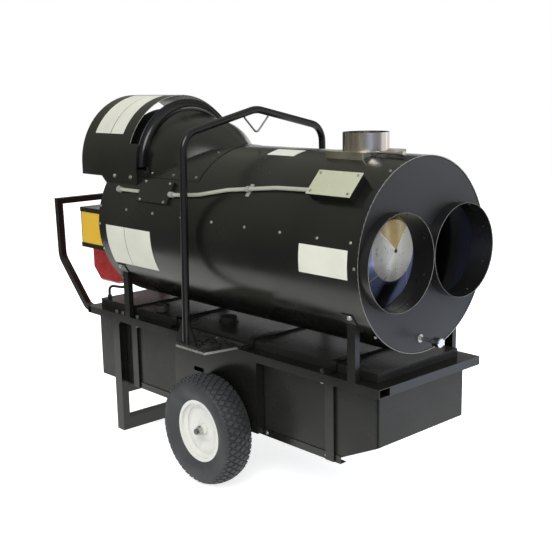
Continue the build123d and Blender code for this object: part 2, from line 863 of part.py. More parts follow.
with BuildPart() as fuel_pump:
    with BuildSketch(Plane.XZ.offset(burner_body_width / 2 + seat_gap)):
        with Locations((back(pump_back), pump_z)):
            Circle(pump_radius)
    extrude(amount=pump_length)
    fillet(fuel_pump.edges().group_by(Axis.Y)[0], 3)
    with BuildSketch(Plane.XZ.offset(burner_body_width / 2 + pump_length * 0.5)):
        with Locations((back(pump_back), pump_z)):
            RectangleRounded(pump_radius * 2.4, pump_radius * 1.3, 6)
    extrude(amount=12)
    with BuildSketch(Plane.XY.offset(pump_z - pump_radius - 12)):
        with Locations((back(pump_back + 12), -burner_body_width / 2 - pump_length * 0.6)):
            RegularPolygon(9, 6)
    extrude(amount=20)
finish(fuel_pump, "fuel_pump")

# Fuel hose from the pump to the union on the tank
hose_radius = 5.5
union_height = 16.0
union_back = tank_rear_back - 34.0
union_y = -178.0
hose_top = (
    back(pump_back + 12),
    -burner_body_width / 2 - pump_length * 0.6,
    pump_z - pump_radius - 12,
)

with BuildPart() as fuel_hose:
    with BuildLine() as hose_line:
        FilletPolyline(
            hose_top,
            (hose_top[0], hose_top[1], hose_top[2] - 26),
            (back(union_back - 18), union_y + 2, tank_top + union_height + 39.5),
            (back(union_back), union_y, tank_top + union_height + 27.5),
            (back(union_back), union_y, tank_top + union_height),
            radius=20,
        )
    with BuildSketch(Plane(hose_line.line @ 0, z_dir=hose_line.line % 0)):
        Circle(hose_radius)
    sweep(path=hose_line.line)
finish(fuel_hose, "fuel_hose")

# Control box on the rear plate, its cover and the mode switch
box_front_back = barrel_length - plate_recess + seat_gap

with BuildPart() as control_box:
    block(
        back(box_rear_back),
        back(box_front_back),
        box_side_y + box_wall,
        box_side_y + box_depth,
        box_low_z,
        box_high_z,
    )
    block(
        back(box_rear_back) + box_wall,
        back(box_front_back) - box_wall,
        box_side_y,
        box_side_y + box_depth - box_wall,
        box_low_z + box_wall,
        box_high_z - box_wall,
        mode=Mode.SUBTRACT,
    )
    with BuildSketch(Plane.YZ.offset(back(box_rear_back) - 1)):
        with Locations((box_side_y + box_depth / 2, box_low_z + 0.62 * (box_high_z - box_low_z))):
            Circle(6 + seat_gap)
    extrude(amount=2 * box_wall + 1, mode=Mode.SUBTRACT)
finish(control_box, "control_box")

with BuildPart() as control_box_cover:
    block(
        back(box_rear_back),
        back(box_front_back),
        box_side_y,
        box_side_y + box_wall,
        box_low_z,
        box_high_z,
    )
    for low, high in (
        (box_low_z, box_low_z + box_lip),
        (box_high_z - box_lip, box_high_z),
    ):
        block(
            back(box_rear_back),
            back(box_front_back),
            box_side_y - 3,
            box_side_y,
            low,
            high,
        )
finish(control_box_cover, "control_box_cover")

switch_y = box_side_y + box_depth / 2
switch_z = box_low_z + 0.62 * (box_high_z - box_low_z)

with BuildPart() as switch_bezel:
    with BuildSketch(Plane.YZ.offset(back(box_rear_back))):
        with Locations((switch_y, switch_z)):
            Circle(11)
            Circle(5.2, mode=Mode.SUBTRACT)
    extrude(amount=-5)
    with BuildSketch(Plane.YZ.offset(back(box_rear_back) + 14)):
        with Locations((switch_y, switch_z)):
            Circle(6)
            Circle(5.2, mode=Mode.SUBTRACT)
    extrude(amount=-14)
    with BuildSketch(Plane.XZ.offset(-switch_y)):
        with Locations((back(box_rear_back) + 6, switch_z)):
            Circle(1.2)
    extrude(amount=5.6, both=True)
finish(switch_bezel, "switch_bezel")

with BuildPart() as mode_switch:
    with BuildSketch(Plane.XZ.offset(-switch_y)):
        with Locations((back(box_rear_back) + 6, switch_z)):
            Circle(3.4)
            Circle(1.2 + running_gap, mode=Mode.SUBTRACT)
    extrude(amount=2, both=True)
    with BuildSketch(Plane.YZ.offset(back(box_rear_back) + 3.5)):
        with Locations((switch_y, switch_z)):
            Circle(1.7)
    extrude(amount=-20, taper=-3)
finish(mode_switch, "mode_switch")

# Junction box at the front of the barrel, with its lid
jbox_back = 147.0
jbox_angle = 46.8
jbox_length = 172.0
jbox_width = 84.0
jbox_height = 31.0
lid_overhang = 3.0

with BuildPart() as front_junction_box:
    with BuildSketch(skin_plane(jbox_back, jbox_angle, barrel_radius - 12)):
        Rectangle(jbox_length, jbox_width)
    extrude(amount=jbox_height + 12)
    with BuildSketch(skin_plane(jbox_back, jbox_angle, barrel_radius - 12)):
        Rectangle(jbox_length - 3, jbox_width - 3)
    extrude(amount=jbox_height + 14, mode=Mode.SUBTRACT)
    add(barrel_core(), mode=Mode.SUBTRACT)
finish(front_junction_box, "front_junction_box")

with BuildPart() as junction_box_lid:
    with BuildSketch(skin_plane(jbox_back, jbox_angle, barrel_radius + jbox_height)):
        Rectangle(jbox_length + 2 * lid_overhang, jbox_width + 2 * lid_overhang)
    extrude(amount=2)
finish(junction_box_lid, "junction_box_lid")

# Cover over the side junction, a shallow pan on the skin
side_cover_rear_back = barrel_length - 244.0
side_cover_front_back = side_cover_rear_back - 186.0
side_cover_angle = 61.75
side_cover_width = 84.0
side_cover_height = 9.0
side_cover_back = (side_cover_front_back + side_cover_rear_back) / 2
side_cover_length = side_cover_rear_back - side_cover_front_back

with BuildPart() as side_cover:
    with BuildSketch(skin_plane(side_cover_back, side_cover_angle, barrel_radius - 8)):
        Rectangle(side_cover_length, side_cover_width)
    extrude(amount=side_cover_height + 8)
    with BuildSketch(skin_plane(side_cover_back, side_cover_angle, barrel_radius - 8)):
        Rectangle(side_cover_length - 3, side_cover_width - 3)
    extrude(amount=side_cover_height + 8 - 1.5, mode=Mode.SUBTRACT)
    add(barrel_core(), mode=Mode.SUBTRACT)
finish(side_cover, "side_cover")

# Conduits clipped along the skin, with their fittings
conduit_radius = 6.5
conduit_line_radius = barrel_radius + conduit_radius + 3
fitting_radius = 10.0
rear_conduit_length = 114.0

with BuildPart() as conduits:
    with BuildLine() as front_conduit:
        FilletPolyline(
            on_skin(jbox_back + jbox_length / 2 + seat_gap, 49.6, conduit_line_radius),
            on_skin(400, 50.5, conduit_line_radius),
            on_skin(side_cover_front_back - 295, 55.2, conduit_line_radius),
            on_skin(side_cover_front_back - 155, 60.6, conduit_line_radius),
            on_skin(side_cover_front_back - 23, 62.6, conduit_line_radius),
            radius=250,
        )
    with BuildSketch(Plane(front_conduit.line @ 0, z_dir=front_conduit.line % 0)):
        Circle(conduit_radius)
    sweep(path=front_conduit.line)
    with BuildSketch(Plane.YZ.offset(back(side_cover_rear_back + seat_gap))):
        with Locations(on_skin(0, 63, conduit_line_radius)[1:]):
            Circle(conduit_radius)
    extrude(amount=-rear_conduit_length)
finish(conduits, "conduits")

with BuildPart() as conduit_fittings:
    with BuildSketch(Plane.YZ.offset(back(side_cover_front_back - seat_gap))):
        with Locations(on_skin(0, 62.6, conduit_line_radius)[1:]):
            Circle(fitting_radius)
    extrude(amount=22 - 2 * seat_gap)
    with BuildSketch(Plane.YZ.offset(back(side_cover_rear_back + rear_conduit_length + 2 * seat_gap))):
        with Locations(on_skin(0, 63, conduit_line_radius)[1:]):
            Circle(fitting_radius)
    extrude(amount=-20)
    with BuildSketch(skin_plane(side_cover_rear_back + rear_conduit_length + fitting_radius + 2, 63)):
        Circle(fitting_radius + 1)
    extrude(amount=conduit_line_radius - barrel_radius + fitting_radius - 2)
    clamp_spot = front_conduit.line @ 0.44
    clamp_angle = degrees(atan2(-clamp_spot.Y, clamp_spot.Z - barrel_z))
    with BuildSketch(skin_plane(front_x - clamp_spot.X, clamp_angle)):
        Rectangle(16, 46)
    extrude(amount=2)
    with BuildSketch(Plane(clamp_spot, z_dir=front_conduit.line % 0.44)):
        Circle(conduit_radius + 3)
        Circle(conduit_radius + seat_gap, mode=Mode.SUBTRACT)
    extrude(amount=7, both=True)
    add(barrel_core(), mode=Mode.SUBTRACT)
finish(conduit_fittings, "conduit_fittings")

# Base frame: four rectangular tubes, each butting against the side of the next
frame_front_x = front_x + frame_front_reach
inner_y = frame_half_width - rail_width
rear_rail_x = back(frame_rear_back - rear_rail_width)
frame_tubes = (
    (rear_rail_x, frame_front_x, -frame_half_width, -inner_y, (0, 1)),
    (frame_front_x - rail_width, frame_front_x, -inner_y, frame_half_width, (0, 1)),
    (back(frame_rear_back), frame_front_x - rail_width, inner_y, frame_half_width, (1, 0)),
    (back(frame_rear_back), rear_rail_x, -frame_half_width, inner_y, (1, 0)),
)
nut_bolt_backs = (225.0, 748.0, barrel_length - 107.0)
leg_bolt_backs = (leg_back - 16.5, leg_back + 26.5)

with BuildPart() as base_frame:
    for x_low, x_high, y_low, y_high, open_end in frame_tubes:
        block(x_low, x_high, y_low, y_high, rail_low, rail_top)
    for x_low, x_high, y_low, y_high, open_end in frame_tubes:
        along_x = x_high - x_low > y_high - y_low
        low_end, high_end = open_end
        block(
            x_low + (-low_end if along_x else rail_wall),
            x_high + (high_end if along_x else -rail_wall),
            y_low + (rail_wall if along_x else -low_end),
            y_high + (-rail_wall if along_x else high_end),
            rail_low + rail_wall,
            rail_top - rail_wall,
            mode=Mode.SUBTRACT,
        )
    with Locations(
        [
            (back(distance), side * bolt_y, rail_top + 1)
            for distance in nut_bolt_backs + leg_bolt_backs
            for side in (-1, 1)
        ]
    ):
        Cylinder(
            bolt_radius + seat_gap,
            rail_height + 2,
            align=(Align.CENTER, Align.CENTER, Align.MAX),
            mode=Mode.SUBTRACT,
        )
finish(base_frame, "base_frame")

# Bolts through the side rails, their heads on top and their nuts below
strut_wall = 6.0
tab_wall = 5.0
head_size = 7.5
leg_cap = 8.0

with BuildPart() as frame_bolts:
    for bolt_back in nut_bolt_backs + leg_bolt_backs:
        for side in (-1, 1):
            with BuildSketch(Plane.XY.offset(rail_top + 0.1)):
                with Locations((back(bolt_back), side * bolt_y)):
                    RegularPolygon(head_size, 6)
            extrude(amount=6)
            held = tab_wall + 8 if bolt_back in nut_bolt_backs else leg_cap - 2
            with BuildSketch(Plane.XY.offset(rail_top + 1)):
                with Locations((back(bolt_back), side * bolt_y)):
                    Circle(bolt_radius)
            extrude(amount=-(rail_height + 1 + held))
            if bolt_back in nut_bolt_backs:
                with BuildSketch(Plane.XY.offset(rail_low - tab_wall - 0.3)):
                    with Locations((back(bolt_back), side * bolt_y)):
                        RegularPolygon(head_size, 6)
                extrude(amount=-6)
finish(frame_bolts, "frame_bolts")

# Fuel tank: a stepped box, its wide lower body hung under the rails, a ramp under its front
upper_half_width = inner_y - seat_gap
upper_front_x = frame_front_x - rail_width - seat_gap
tank_shoulder = rail_low - seat_gap


def tank_outline(inset):
    """Side outline of the tank's lower body, drawn in by a wall's thickness for its inside."""
    return (
        (back(tank_rear_back - inset), tank_bottom + inset),
        (back(tank_ramp_back + inset * 0.4), tank_bottom + inset),
        (back(tank_front_back + inset), tank_ramp_z + inset * 0.8),
        (back(tank_front_back + inset), tank_shoulder - inset),
        (back(tank_rear_back - inset), tank_shoulder - inset),
    )


with BuildPart() as fuel_tank:
    for inset, mode in ((0, Mode.ADD), (tank_wall, Mode.SUBTRACT)):
        with BuildSketch(Plane.XZ):
            with BuildLine():
                Polyline(*tank_outline(inset), close=True)
            make_face()
        extrude(amount=tank_half_width - inset, both=True, mode=mode)
        block(
            back(tank_rear_back - inset),
            upper_front_x - inset,
            -upper_half_width + inset,
            upper_half_width - inset,
            tank_shoulder - 2 * inset - 1,
            tank_top - inset,
            mode=mode,
        )
        if mode == Mode.ADD:
            fillet(
                fuel_tank.edges().filter_by(Axis.Z).filter_by(lambda edge: edge.length > 100),
                10,
            )
    with BuildSketch(Plane.XY.offset(tank_top - tank_wall)):
        with Locations((back(cap_back), cap_y)):
            Circle(neck_radius)
    extrude(amount=tank_wall + cap_height)
    with BuildSketch(Plane.XY.offset(tank_top - 2 * tank_wall)):
        with Locations((back(cap_back), cap_y)):
            Circle(neck_radius - tank_wall)
    extrude(amount=4 * tank_wall + cap_height, mode=Mode.SUBTRACT)
    with BuildSketch(Plane.XY.offset(tank_top - tank_wall / 2)):
        with Locations((back(union_back), union_y)):
            RegularPolygon(9, 6)
    extrude(amount=union_height + tank_wall / 2)
finish(fuel_tank, "fuel_tank")

with BuildPart() as fuel_cap:
    with BuildSketch(Plane.XY.offset(tank_top + 4)):
        with Locations((back(cap_back), cap_y)):
            Circle(cap_radius)
    extrude(amount=cap_height + 2)
    fillet(fuel_cap.edges().group_by(Axis.Z)[-1], 3)
    with BuildSketch(Plane.XY.offset(tank_top + 4)):
        with Locations((back(cap_back), cap_y)):
            Circle(neck_radius + running_gap)
    extrude(amount=cap_height - 4 + seat_gap, mode=Mode.SUBTRACT)
    with BuildSketch(Plane.XY.offset(tank_top + cap_height + 5)):
        with Locations((back(cap_back), cap_y)):
            SlotOverall(2 * cap_radius - 10, 12)
    extrude(amount=7)
finish(fuel_cap, "fuel_cap")

with BuildPart() as fuel_gauge:
    with BuildSketch(Plane.XY.offset(tank_top + 0.1)):
        with Locations((back(gauge_back), gauge_y)):
            Circle(gauge_radius + 6)
    extrude(amount=3)
    with BuildSketch(Plane.XY.offset(tank_top + 3)):
        with Locations((back(gauge_back), gauge_y)):
            Circle(gauge_radius)
    extrude(amount=17)
    chamfer(fuel_gauge.edges().group_by(Axis.Z)[-1], 2)
finish(fuel_gauge, "fuel_gauge")

# Straps that hold the tank down, each a flat bar bent over it from rail to rail
strap_backs = (195.0, 585.0, barrel_length - 325.0, barrel_length - 45.0)
tank_strap_width = 25.0
tank_strap_wall = 6.0

with BuildPart() as tank_straps:
    for strap_back in strap_backs:
        with BuildSketch(Plane.YZ.offset(back(strap_back + tank_strap_width / 2))):
            with Locations((0, tank_top + seat_gap)):
                Rectangle(
                    2 * (inner_y + tank_strap_wall),
                    tank_strap_wall,
                    align=(Align.CENTER, Align.MIN),
                )
            for side in (-1, 1):
                with Locations((side * (inner_y + tank_strap_wall / 2), rail_top + 0.1)):
                    Rectangle(
                        tank_strap_wall,
                        tank_top - rail_top + tank_strap_wall / 2,
                        align=(Align.CENTER, Align.MIN),
                    )
                with Locations((side * (inner_y + 17), rail_top + 0.1)):
                    Rectangle(34, tank_strap_wall, align=(Align.CENTER, Align.MIN))
        extrude(amount=tank_strap_width)
finish(tank_straps, "tank_straps")

# Lower rails: angles along the bottom edges of the tank
angle_size = 25.0
angle_wall = 3.0
angle_front_back = 155.0
angle_rear_back = nut_bolt_backs[2] + 52.0
angle_y = tank_half_width + seat_gap
angle_low = tank_bottom - seat_gap - angle_wall

with BuildPart() as lower_rails:
    for side in (-1, 1):
        with BuildSketch(Plane.YZ.offset(back(angle_rear_back))):
            with Locations((side * (angle_y + angle_wall), angle_low)):
                outer = Align.MAX if side > 0 else Align.MIN
                Rectangle(angle_wall, angle_size, align=(outer, Align.MIN))
                Rectangle(angle_size, angle_wall, align=(outer, Align.MIN))
        extrude(amount=angle_rear_back - angle_front_back)
finish(lower_rails, "lower_rails")

# Hanging struts from the side rails to the lower rails, each with a tab under its rail
strut_y = angle_y + angle_wall
strut_low = angle_low + 1
strut_width = 37.0
strut_offset = 27.5
tab_width = 23.0

with BuildPart() as side_struts:
    for side in (-1, 1):
        for strut_back, tab_back in (
            (nut_bolt_backs[0] - strut_offset, nut_bolt_backs[0]),
            (nut_bolt_backs[2] + strut_offset, nut_bolt_backs[2]),
        ):
            with BuildSketch(Plane.XZ.offset(-side * strut_y)):
                with Locations((back(strut_back), strut_low)):
                    Rectangle(strut_width, rail_low - seat_gap - strut_low, align=(Align.CENTER, Align.MIN))
            extrude(amount=-side * strut_wall)
            with BuildSketch(Plane.XY.offset(rail_low - 0.1)):
                with Locations(((back(strut_back) + back(tab_back)) / 2, side * (strut_y + tab_width / 2))):
                    Rectangle(abs(strut_back - tab_back) + strut_width, tab_width)
                with Locations((back(tab_back), side * bolt_y)):
                    Circle(bolt_radius + seat_gap, mode=Mode.SUBTRACT)
            extrude(amount=-tab_wall)
finish(side_struts, "side_struts")

# Axle brackets: pressed boxes between the side rail and the wheel, open towards the tank
wheel_z = wheel_radius
bracket_front_back = wheel_back - 188.0
bracket_rear_back = wheel_back + 266.0
bracket_low = wheel_z + 10.0
bracket_wall = 4.0
ear_radius = 48.0
slot_back = wheel_back + 124.0
slot_z = wheel_z + 173.0
slot_length = 58.0
slot_width = 16.0

with BuildPart() as axle_brackets:
    for side in (-1, 1):
        with BuildSketch(Plane.XZ.offset(-side * frame_half_width)):
            with BuildLine():
                Polyline(
                    (back(bracket_rear_back), rail_low - 0.1),
                    (back(bracket_front_back), rail_low - 0.1),
                    (back(bracket_front_back), bracket_low),
                    (back(bracket_rear_back), bracket_low),
                    close=True,
                )
            make_face()
            with Locations((back(wheel_back), wheel_z)):
                Circle(ear_radius)
        extrude(amount=side * (frame_half_width - strut_y - seat_gap))
        with BuildSketch(Plane.XZ.offset(-side * (frame_half_width - bracket_wall))):
            with BuildLine():
                Polyline(
                    (back(bracket_rear_back - bracket_wall), rail_low - 0.1 - bracket_wall),
                    (back(bracket_front_back + bracket_wall), rail_low - 0.1 - bracket_wall),
                    (back(bracket_front_back + bracket_wall), bracket_low + bracket_wall),
                    (back(bracket_rear_back - bracket_wall), bracket_low + bracket_wall),
                    close=True,
                )
            make_face()
            with Locations((back(wheel_back), wheel_z)):
                Circle(ear_radius - bracket_wall)
        extrude(amount=side * frame_half_width, mode=Mode.SUBTRACT)
    with BuildSketch(Plane.XZ):
        with Locations((back(slot_back), slot_z)):
            SlotOverall(slot_length, slot_width)
        with Locations((back(wheel_back), wheel_z)):
            Circle(axle_radius + seat_gap)
    extrude(amount=2 * frame_half_width, both=True, mode=Mode.SUBTRACT)
    with Locations([(back(nut_bolt_backs[1]), side * bolt_y, rail_low) for side in (-1, 1)]):
        Cylinder(bolt_radius + seat_gap, 4 * bracket_wall, mode=Mode.SUBTRACT)
finish(axle_brackets, "axle_brackets")

# Stub axles: shaft, spacer collar outside the bracket and a thick washer inside it
hub_inner_y = wheel_y - hub_inner
hub_outer_y = wheel_y + hub_outer
collar_radius = 16.0
axle_tip = 20.0

with BuildPart() as stub_axles:
    for side in (-1, 1):
        with BuildSketch(Plane.XY.offset(wheel_z)):
            for reach_low, reach_high, radius in (
                (strut_y + 2, hub_outer_y + axle_tip, axle_radius),
                (frame_half_width + 0.1, hub_inner_y - seat_gap, collar_radius),
                (frame_half_width - bracket_wall - 12, frame_half_width - bracket_wall - 0.1, 26),
            ):
                with Locations((back(wheel_back), side * (reach_low + reach_high) / 2)):
                    Rectangle(radius, reach_high - reach_low, align=(Align.MIN, Align.CENTER))
        revolve(axis=Axis((back(wheel_back), 0, wheel_z), (0, 1, 0)))
finish(stub_axles, "stub_axles")

with BuildPart() as axle_nuts:
    for side in (-1, 1):
        with BuildSketch(Plane.XZ.offset(-side * (hub_outer_y + seat_gap))):
            with Locations((back(wheel_back), wheel_z)):
                Circle(19)
                Circle(axle_radius + 0.1, mode=Mode.SUBTRACT)
        extrude(amount=-side * 2.5)
        with BuildSketch(Plane.XZ.offset(-side * (hub_outer_y + seat_gap + 2.5))):
            with Locations((back(wheel_back), wheel_z)):
                RegularPolygon(16, 6)
                Circle(axle_radius + 0.1, mode=Mode.SUBTRACT)
        extrude(amount=-side * 11)
finish(axle_nuts, "axle_nuts")

# Wheels: pressed rim with a dished disc and hub, and a hollow tyre.
# Each outline is radius, then distance outwards from the wheel's middle plane.
rim_wall = 2.5
well_depth = 11.0
hub_radius_outer = 21.0
bead_face = rim_half_width - rim_wall - seat_gap
tyre_wall = 10.0
wheel_axis = Axis((back(wheel_back), 0, wheel_z), (0, 1, 0))

for name, side in (("right", -1), ("left", 1)):
    wheel_plane = Plane(
        origin=(back(wheel_back), side * wheel_y, wheel_z),
        x_dir=(1, 0, 0),
        z_dir=(0, 0, side),
    )
    well_radius = rim_radius - well_depth

    with BuildPart() as rim:
        with BuildSketch(wheel_plane):
            with BuildLine():
                Polyline(
                    (rim_flange_radius, rim_half_width),
                    (rim_flange_radius, rim_half_width - rim_wall),
                    (rim_radius, rim_half_width - rim_wall),
                    (rim_radius, 22),
                    (well_radius, 16),
                    (well_radius, -16),
                    (rim_radius, -22),
                    (rim_radius, -rim_half_width + rim_wall),
                    (rim_flange_radius, -rim_half_width + rim_wall),
                    (rim_flange_radius, -rim_half_width),
                    (rim_radius - rim_wall, -rim_half_width),
                    (rim_radius - rim_wall, -22 - rim_wall),
                    (well_radius - rim_wall, -16 - rim_wall),
                    (well_radius - rim_wall, 16 + rim_wall),
                    (rim_radius - rim_wall, 22 + rim_wall),
                    (rim_radius - rim_wall, rim_half_width),
                    close=True,
                )
            make_face()
            with BuildLine():
                Polyline(
                    (well_radius - rim_wall / 2, 12),
                    (72, 16),
                    (44, 6),
                    (hub_radius_outer - 1, 12),
                    (hub_radius_outer - 1, 9),
                    (44, 3),
                    (72, 13),
                    (well_radius - rim_wall / 2, 9),
                    close=True,
                )
            make_face()
            with Locations((axle_radius + running_gap, 0)):
                Rectangle(
                    hub_radius_outer - axle_radius - running_gap,
                    2 * hub_inner,
                    align=(Align.MIN, Align.CENTER),
                )
            with Locations((0, hub_outer)):
                Rectangle(
                    2 * hub_radius_outer,
                    hub_inner,
                    align=(Align.CENTER, Align.MIN),
                    mode=Mode.SUBTRACT,
                )
        revolve(axis=wheel_axis)
    finish(rim, f"{name}_rim")

    with BuildPart() as tyre:
        with BuildSketch(wheel_plane):
            half_width = tyre_width / 2
            shoulder = half_width * 0.8
            seat = rim_radius + seat_gap
            widest = (rim_radius + wheel_radius) / 2 + 2
            with BuildLine():
                Line((seat, bead_face), (rim_flange_radius + 1, bead_face))
                ThreePointArc(
                    (rim_flange_radius + 1, bead_face),
                    (widest, half_width),
                    (wheel_radius - 11, shoulder),
                )
                ThreePointArc(
                    (wheel_radius - 11, shoulder),
                    (wheel_radius, 0),
                    (wheel_radius - 11, -shoulder),
                )
                ThreePointArc(
                    (wheel_radius - 11, -shoulder),
                    (widest, -half_width),
                    (rim_flange_radius + 1, -bead_face),
                )
                Line((rim_flange_radius + 1, -bead_face), (seat, -bead_face))
                Polyline(
                    (seat, -bead_face),
                    (seat, -bead_face + tyre_wall),
                    (rim_flange_radius + tyre_wall / 2, -bead_face + tyre_wall),
                )
                ThreePointArc(
                    (rim_flange_radius + tyre_wall / 2, -bead_face + tyre_wall),
                    (widest, -half_width + tyre_wall),
                    (wheel_radius - 11 - tyre_wall, -shoulder + tyre_wall),
                )
                ThreePointArc(
                    (wheel_radius - 11 - tyre_wall, -shoulder + tyre_wall),
                    (wheel_radius - tyre_wall, 0),
                    (wheel_radius - 11 - tyre_wall, shoulder - tyre_wall),
                )
                ThreePointArc(
                    (wheel_radius - 11 - tyre_wall, shoulder - tyre_wall),
                    (widest, half_width - tyre_wall),
                    (rim_flange_radius + tyre_wall / 2, bead_face - tyre_wall),
                )
                Polyline(
                    (rim_flange_radius + tyre_wall / 2, bead_face - tyre_wall),
                    (seat, bead_face - tyre_wall),
                    (seat, bead_face),
                )
            make_face()
        revolve(axis=wheel_axis)
    finish(tyre, f"{name}_tyre")

# Rear leg: two uprights under the side rails, joined by a foot bar and a bar under the tank
leg_low_x = back(leg_back) - leg_width / 2
leg_high_x = back(leg_back) + leg_width / 2
leg_wall = 2.5

with BuildPart() as rear_leg:
    for side in (-1, 1):
        low, high = sorted((side * frame_half_width, side * (frame_half_width - leg_depth)))
        block(leg_low_x, leg_high_x, low, high, 0, rail_low - 0.1)
        block(
            back(leg_bolt_backs[1]) - 12,
            leg_high_x + 8,
            low,
            high,
            rail_low - 0.1 - leg_cap,
            rail_low - 0.1,
        )
    block(
        leg_low_x,
        leg_high_x,
        -frame_half_width,
        frame_half_width,
        0,
        foot_height,
    )
    block(
        leg_low_x,
        leg_high_x,
        -frame_half_width + 1,
        frame_half_width - 1,
        angle_low - 35,
        angle_low - 5,
    )
    for side in (-1, 1):
        low, high = sorted(
            (side * (frame_half_width - leg_wall), side * (frame_half_width - leg_depth + leg_wall))
        )
        block(
            leg_low_x + leg_wall,
            leg_high_x - leg_wall,
            low,
            high,
            leg_wall,
            rail_low - 0.1 - leg_cap,
            mode=Mode.SUBTRACT,
        )
        for bolt_back in leg_bolt_backs:
            with Locations((back(bolt_back), side * bolt_y, rail_low)):
                Cylinder(bolt_radius + seat_gap, 2 * leg_cap, mode=Mode.SUBTRACT)
    block(
        leg_low_x + leg_wall,
        leg_high_x - leg_wall,
        -frame_half_width + leg_wall,
        frame_half_width - leg_wall,
        leg_wall,
        foot_height - leg_wall,
        mode=Mode.SUBTRACT,
    )
finish(rear_leg, "rear_leg")

# Push handle: two bent legs of square tube, joined by a bar across their tops
handle_start = (back(frame_rear_back) - 0.1, (rail_top + rail_low) / 2)
handle_top_z = handle_top - handle_size / 2

with BuildPart() as push_handle:
    for side in (-1, 1):
        leg_plane = Plane.XZ.offset(-side * handle_y)
        with BuildLine(leg_plane) as handle_line:
            FilletPolyline(
                handle_start,
                (handle_start[0] - 36, handle_start[1]),
                (back(handle_rear_back) + 6, handle_knee_z),
                (back(handle_rear_back), handle_top_z),
                radius=[50, 60],
            )
        with BuildSketch(Plane(handle_line.line @ 0, x_dir=(0, 1, 0), z_dir=(-1, 0, 0))):
            Rectangle(handle_size, handle_size)
            Rectangle(handle_size - 2 * handle_wall, handle_size - 2 * handle_wall, mode=Mode.SUBTRACT)
        sweep(path=handle_line.line)
    with BuildSketch(Plane.XZ.offset(-handle_y - handle_size / 2)):
        with Locations((back(handle_rear_back), handle_top_z)):
            Rectangle(handle_size, handle_size)
    extrude(amount=2 * handle_y + handle_size)
    with BuildSketch(Plane.XZ.offset(-handle_y - handle_size / 2 + handle_wall)):
        with Locations((back(handle_rear_back), handle_top_z)):
            Rectangle(handle_size - 2 * handle_wall, handle_size - 2 * handle_wall)
    extrude(amount=2 * handle_y + handle_size - 2 * handle_wall, mode=Mode.SUBTRACT)
finish(push_handle, "push_handle")

# Lifting hoop over the barrel, with gussets at its feet and an eye of bent rod under its crown
plate_top = rail_top + 0.1 + plate_thickness
hoop_foot_z = plate_top + 0.1

with BuildPart() as lifting_hoop:
    with BuildLine(Plane.YZ.offset(back(hoop_back))) as hoop_line:
        FilletPolyline(
            (-hoop_foot_y, hoop_foot_z - 4),
            (-hoop_shoulder_y, hoop_shoulder_z),
            (0, hoop_top_z),
            (hoop_shoulder_y, hoop_shoulder_z),
            (hoop_foot_y, hoop_foot_z - 4),
            radius=[68, 110, 68],
        )
    with BuildSketch(Plane(hoop_line.line @ 0, z_dir=hoop_line.line % 0)):
        Circle(hoop_radius)
        Circle(hoop_radius - hoop_wall, mode=Mode.SUBTRACT)
    sweep(path=hoop_line.line)
    for side in (-1, 1):
        for way in (-1, 1):
            with BuildSketch(Plane.XZ.offset(-side * hoop_foot_y)):
                with BuildLine():
                    Polyline(
                        (back(hoop_back) + way * (hoop_radius - 1), hoop_foot_z),
                        (back(hoop_back) + way * 55, hoop_foot_z),
                        (back(hoop_back) + way * 55, hoop_foot_z + 8),
                        (back(hoop_back) + way * (hoop_radius - 1), hoop_foot_z + 95),
                        close=True,
                    )
                make_face()
            extrude(amount=2.5, both=True)
    block(
        back(hoop_back) - 60,
        back(hoop_back) + 60,
        -hoop_foot_y - 60,
        hoop_foot_y + 60,
        hoop_foot_z - 40,
        hoop_foot_z,
        mode=Mode.SUBTRACT,
    )
finish(lifting_hoop, "lifting_hoop")

eye_rod_radius = 3.5
eye_half_width = 56.0
eye_bottom_z = 1199.0
hoop_slope = (hoop_top_z - hoop_shoulder_z) / hoop_shoulder_y
eye_seat = hoop_radius + 0.55 * eye_rod_radius + seat_gap
eye_top_z = hoop_top_z - hoop_slope * eye_half_width - eye_seat

with BuildPart() as lifting_eye:
    with BuildLine(Plane.YZ.offset(back(hoop_back))) as eye_line:
        FilletPolyline(
            (-eye_half_width, eye_top_z),
            (0, eye_bottom_z),
            (eye_half_width, eye_top_z),
            radius=14,
        )
    with BuildSketch(Plane(eye_line.line @ 0, z_dir=eye_line.line % 0)):
        Circle(eye_rod_radius)
    sweep(path=eye_line.line)
finish(lifting_eye, "lifting_eye")

# Outrigger plates on the side rails, over the wheels, that carry the hoop's feet
plate_outer_y = 374.0

with BuildPart() as outrigger_plates:
    for side in (-1, 1):
        with BuildSketch(Plane.XY.offset(rail_top + 0.1)):
            with BuildLine():
                Polyline(
                    (back(940), side * (inner_y + 8)),
                    (back(602), side * (inner_y + 8)),
                    (back(602), side * frame_half_width),
                    (back(628), side * plate_outer_y),
                    (back(785), side * plate_outer_y),
                    (back(940), side * frame_half_width),
                    close=True,
                )
            make_face()
            with Locations((back(nut_bolt_backs[1]), side * bolt_y)):
                Circle(head_size + 2, mode=Mode.SUBTRACT)
        extrude(amount=plate_thickness)
finish(outrigger_plates, "outrigger_plates")

# Cradle legs: posts on the side rails, each with a strap that lies along the barrel's skin
strap_radius = barrel_radius + seat_gap + strap_wall

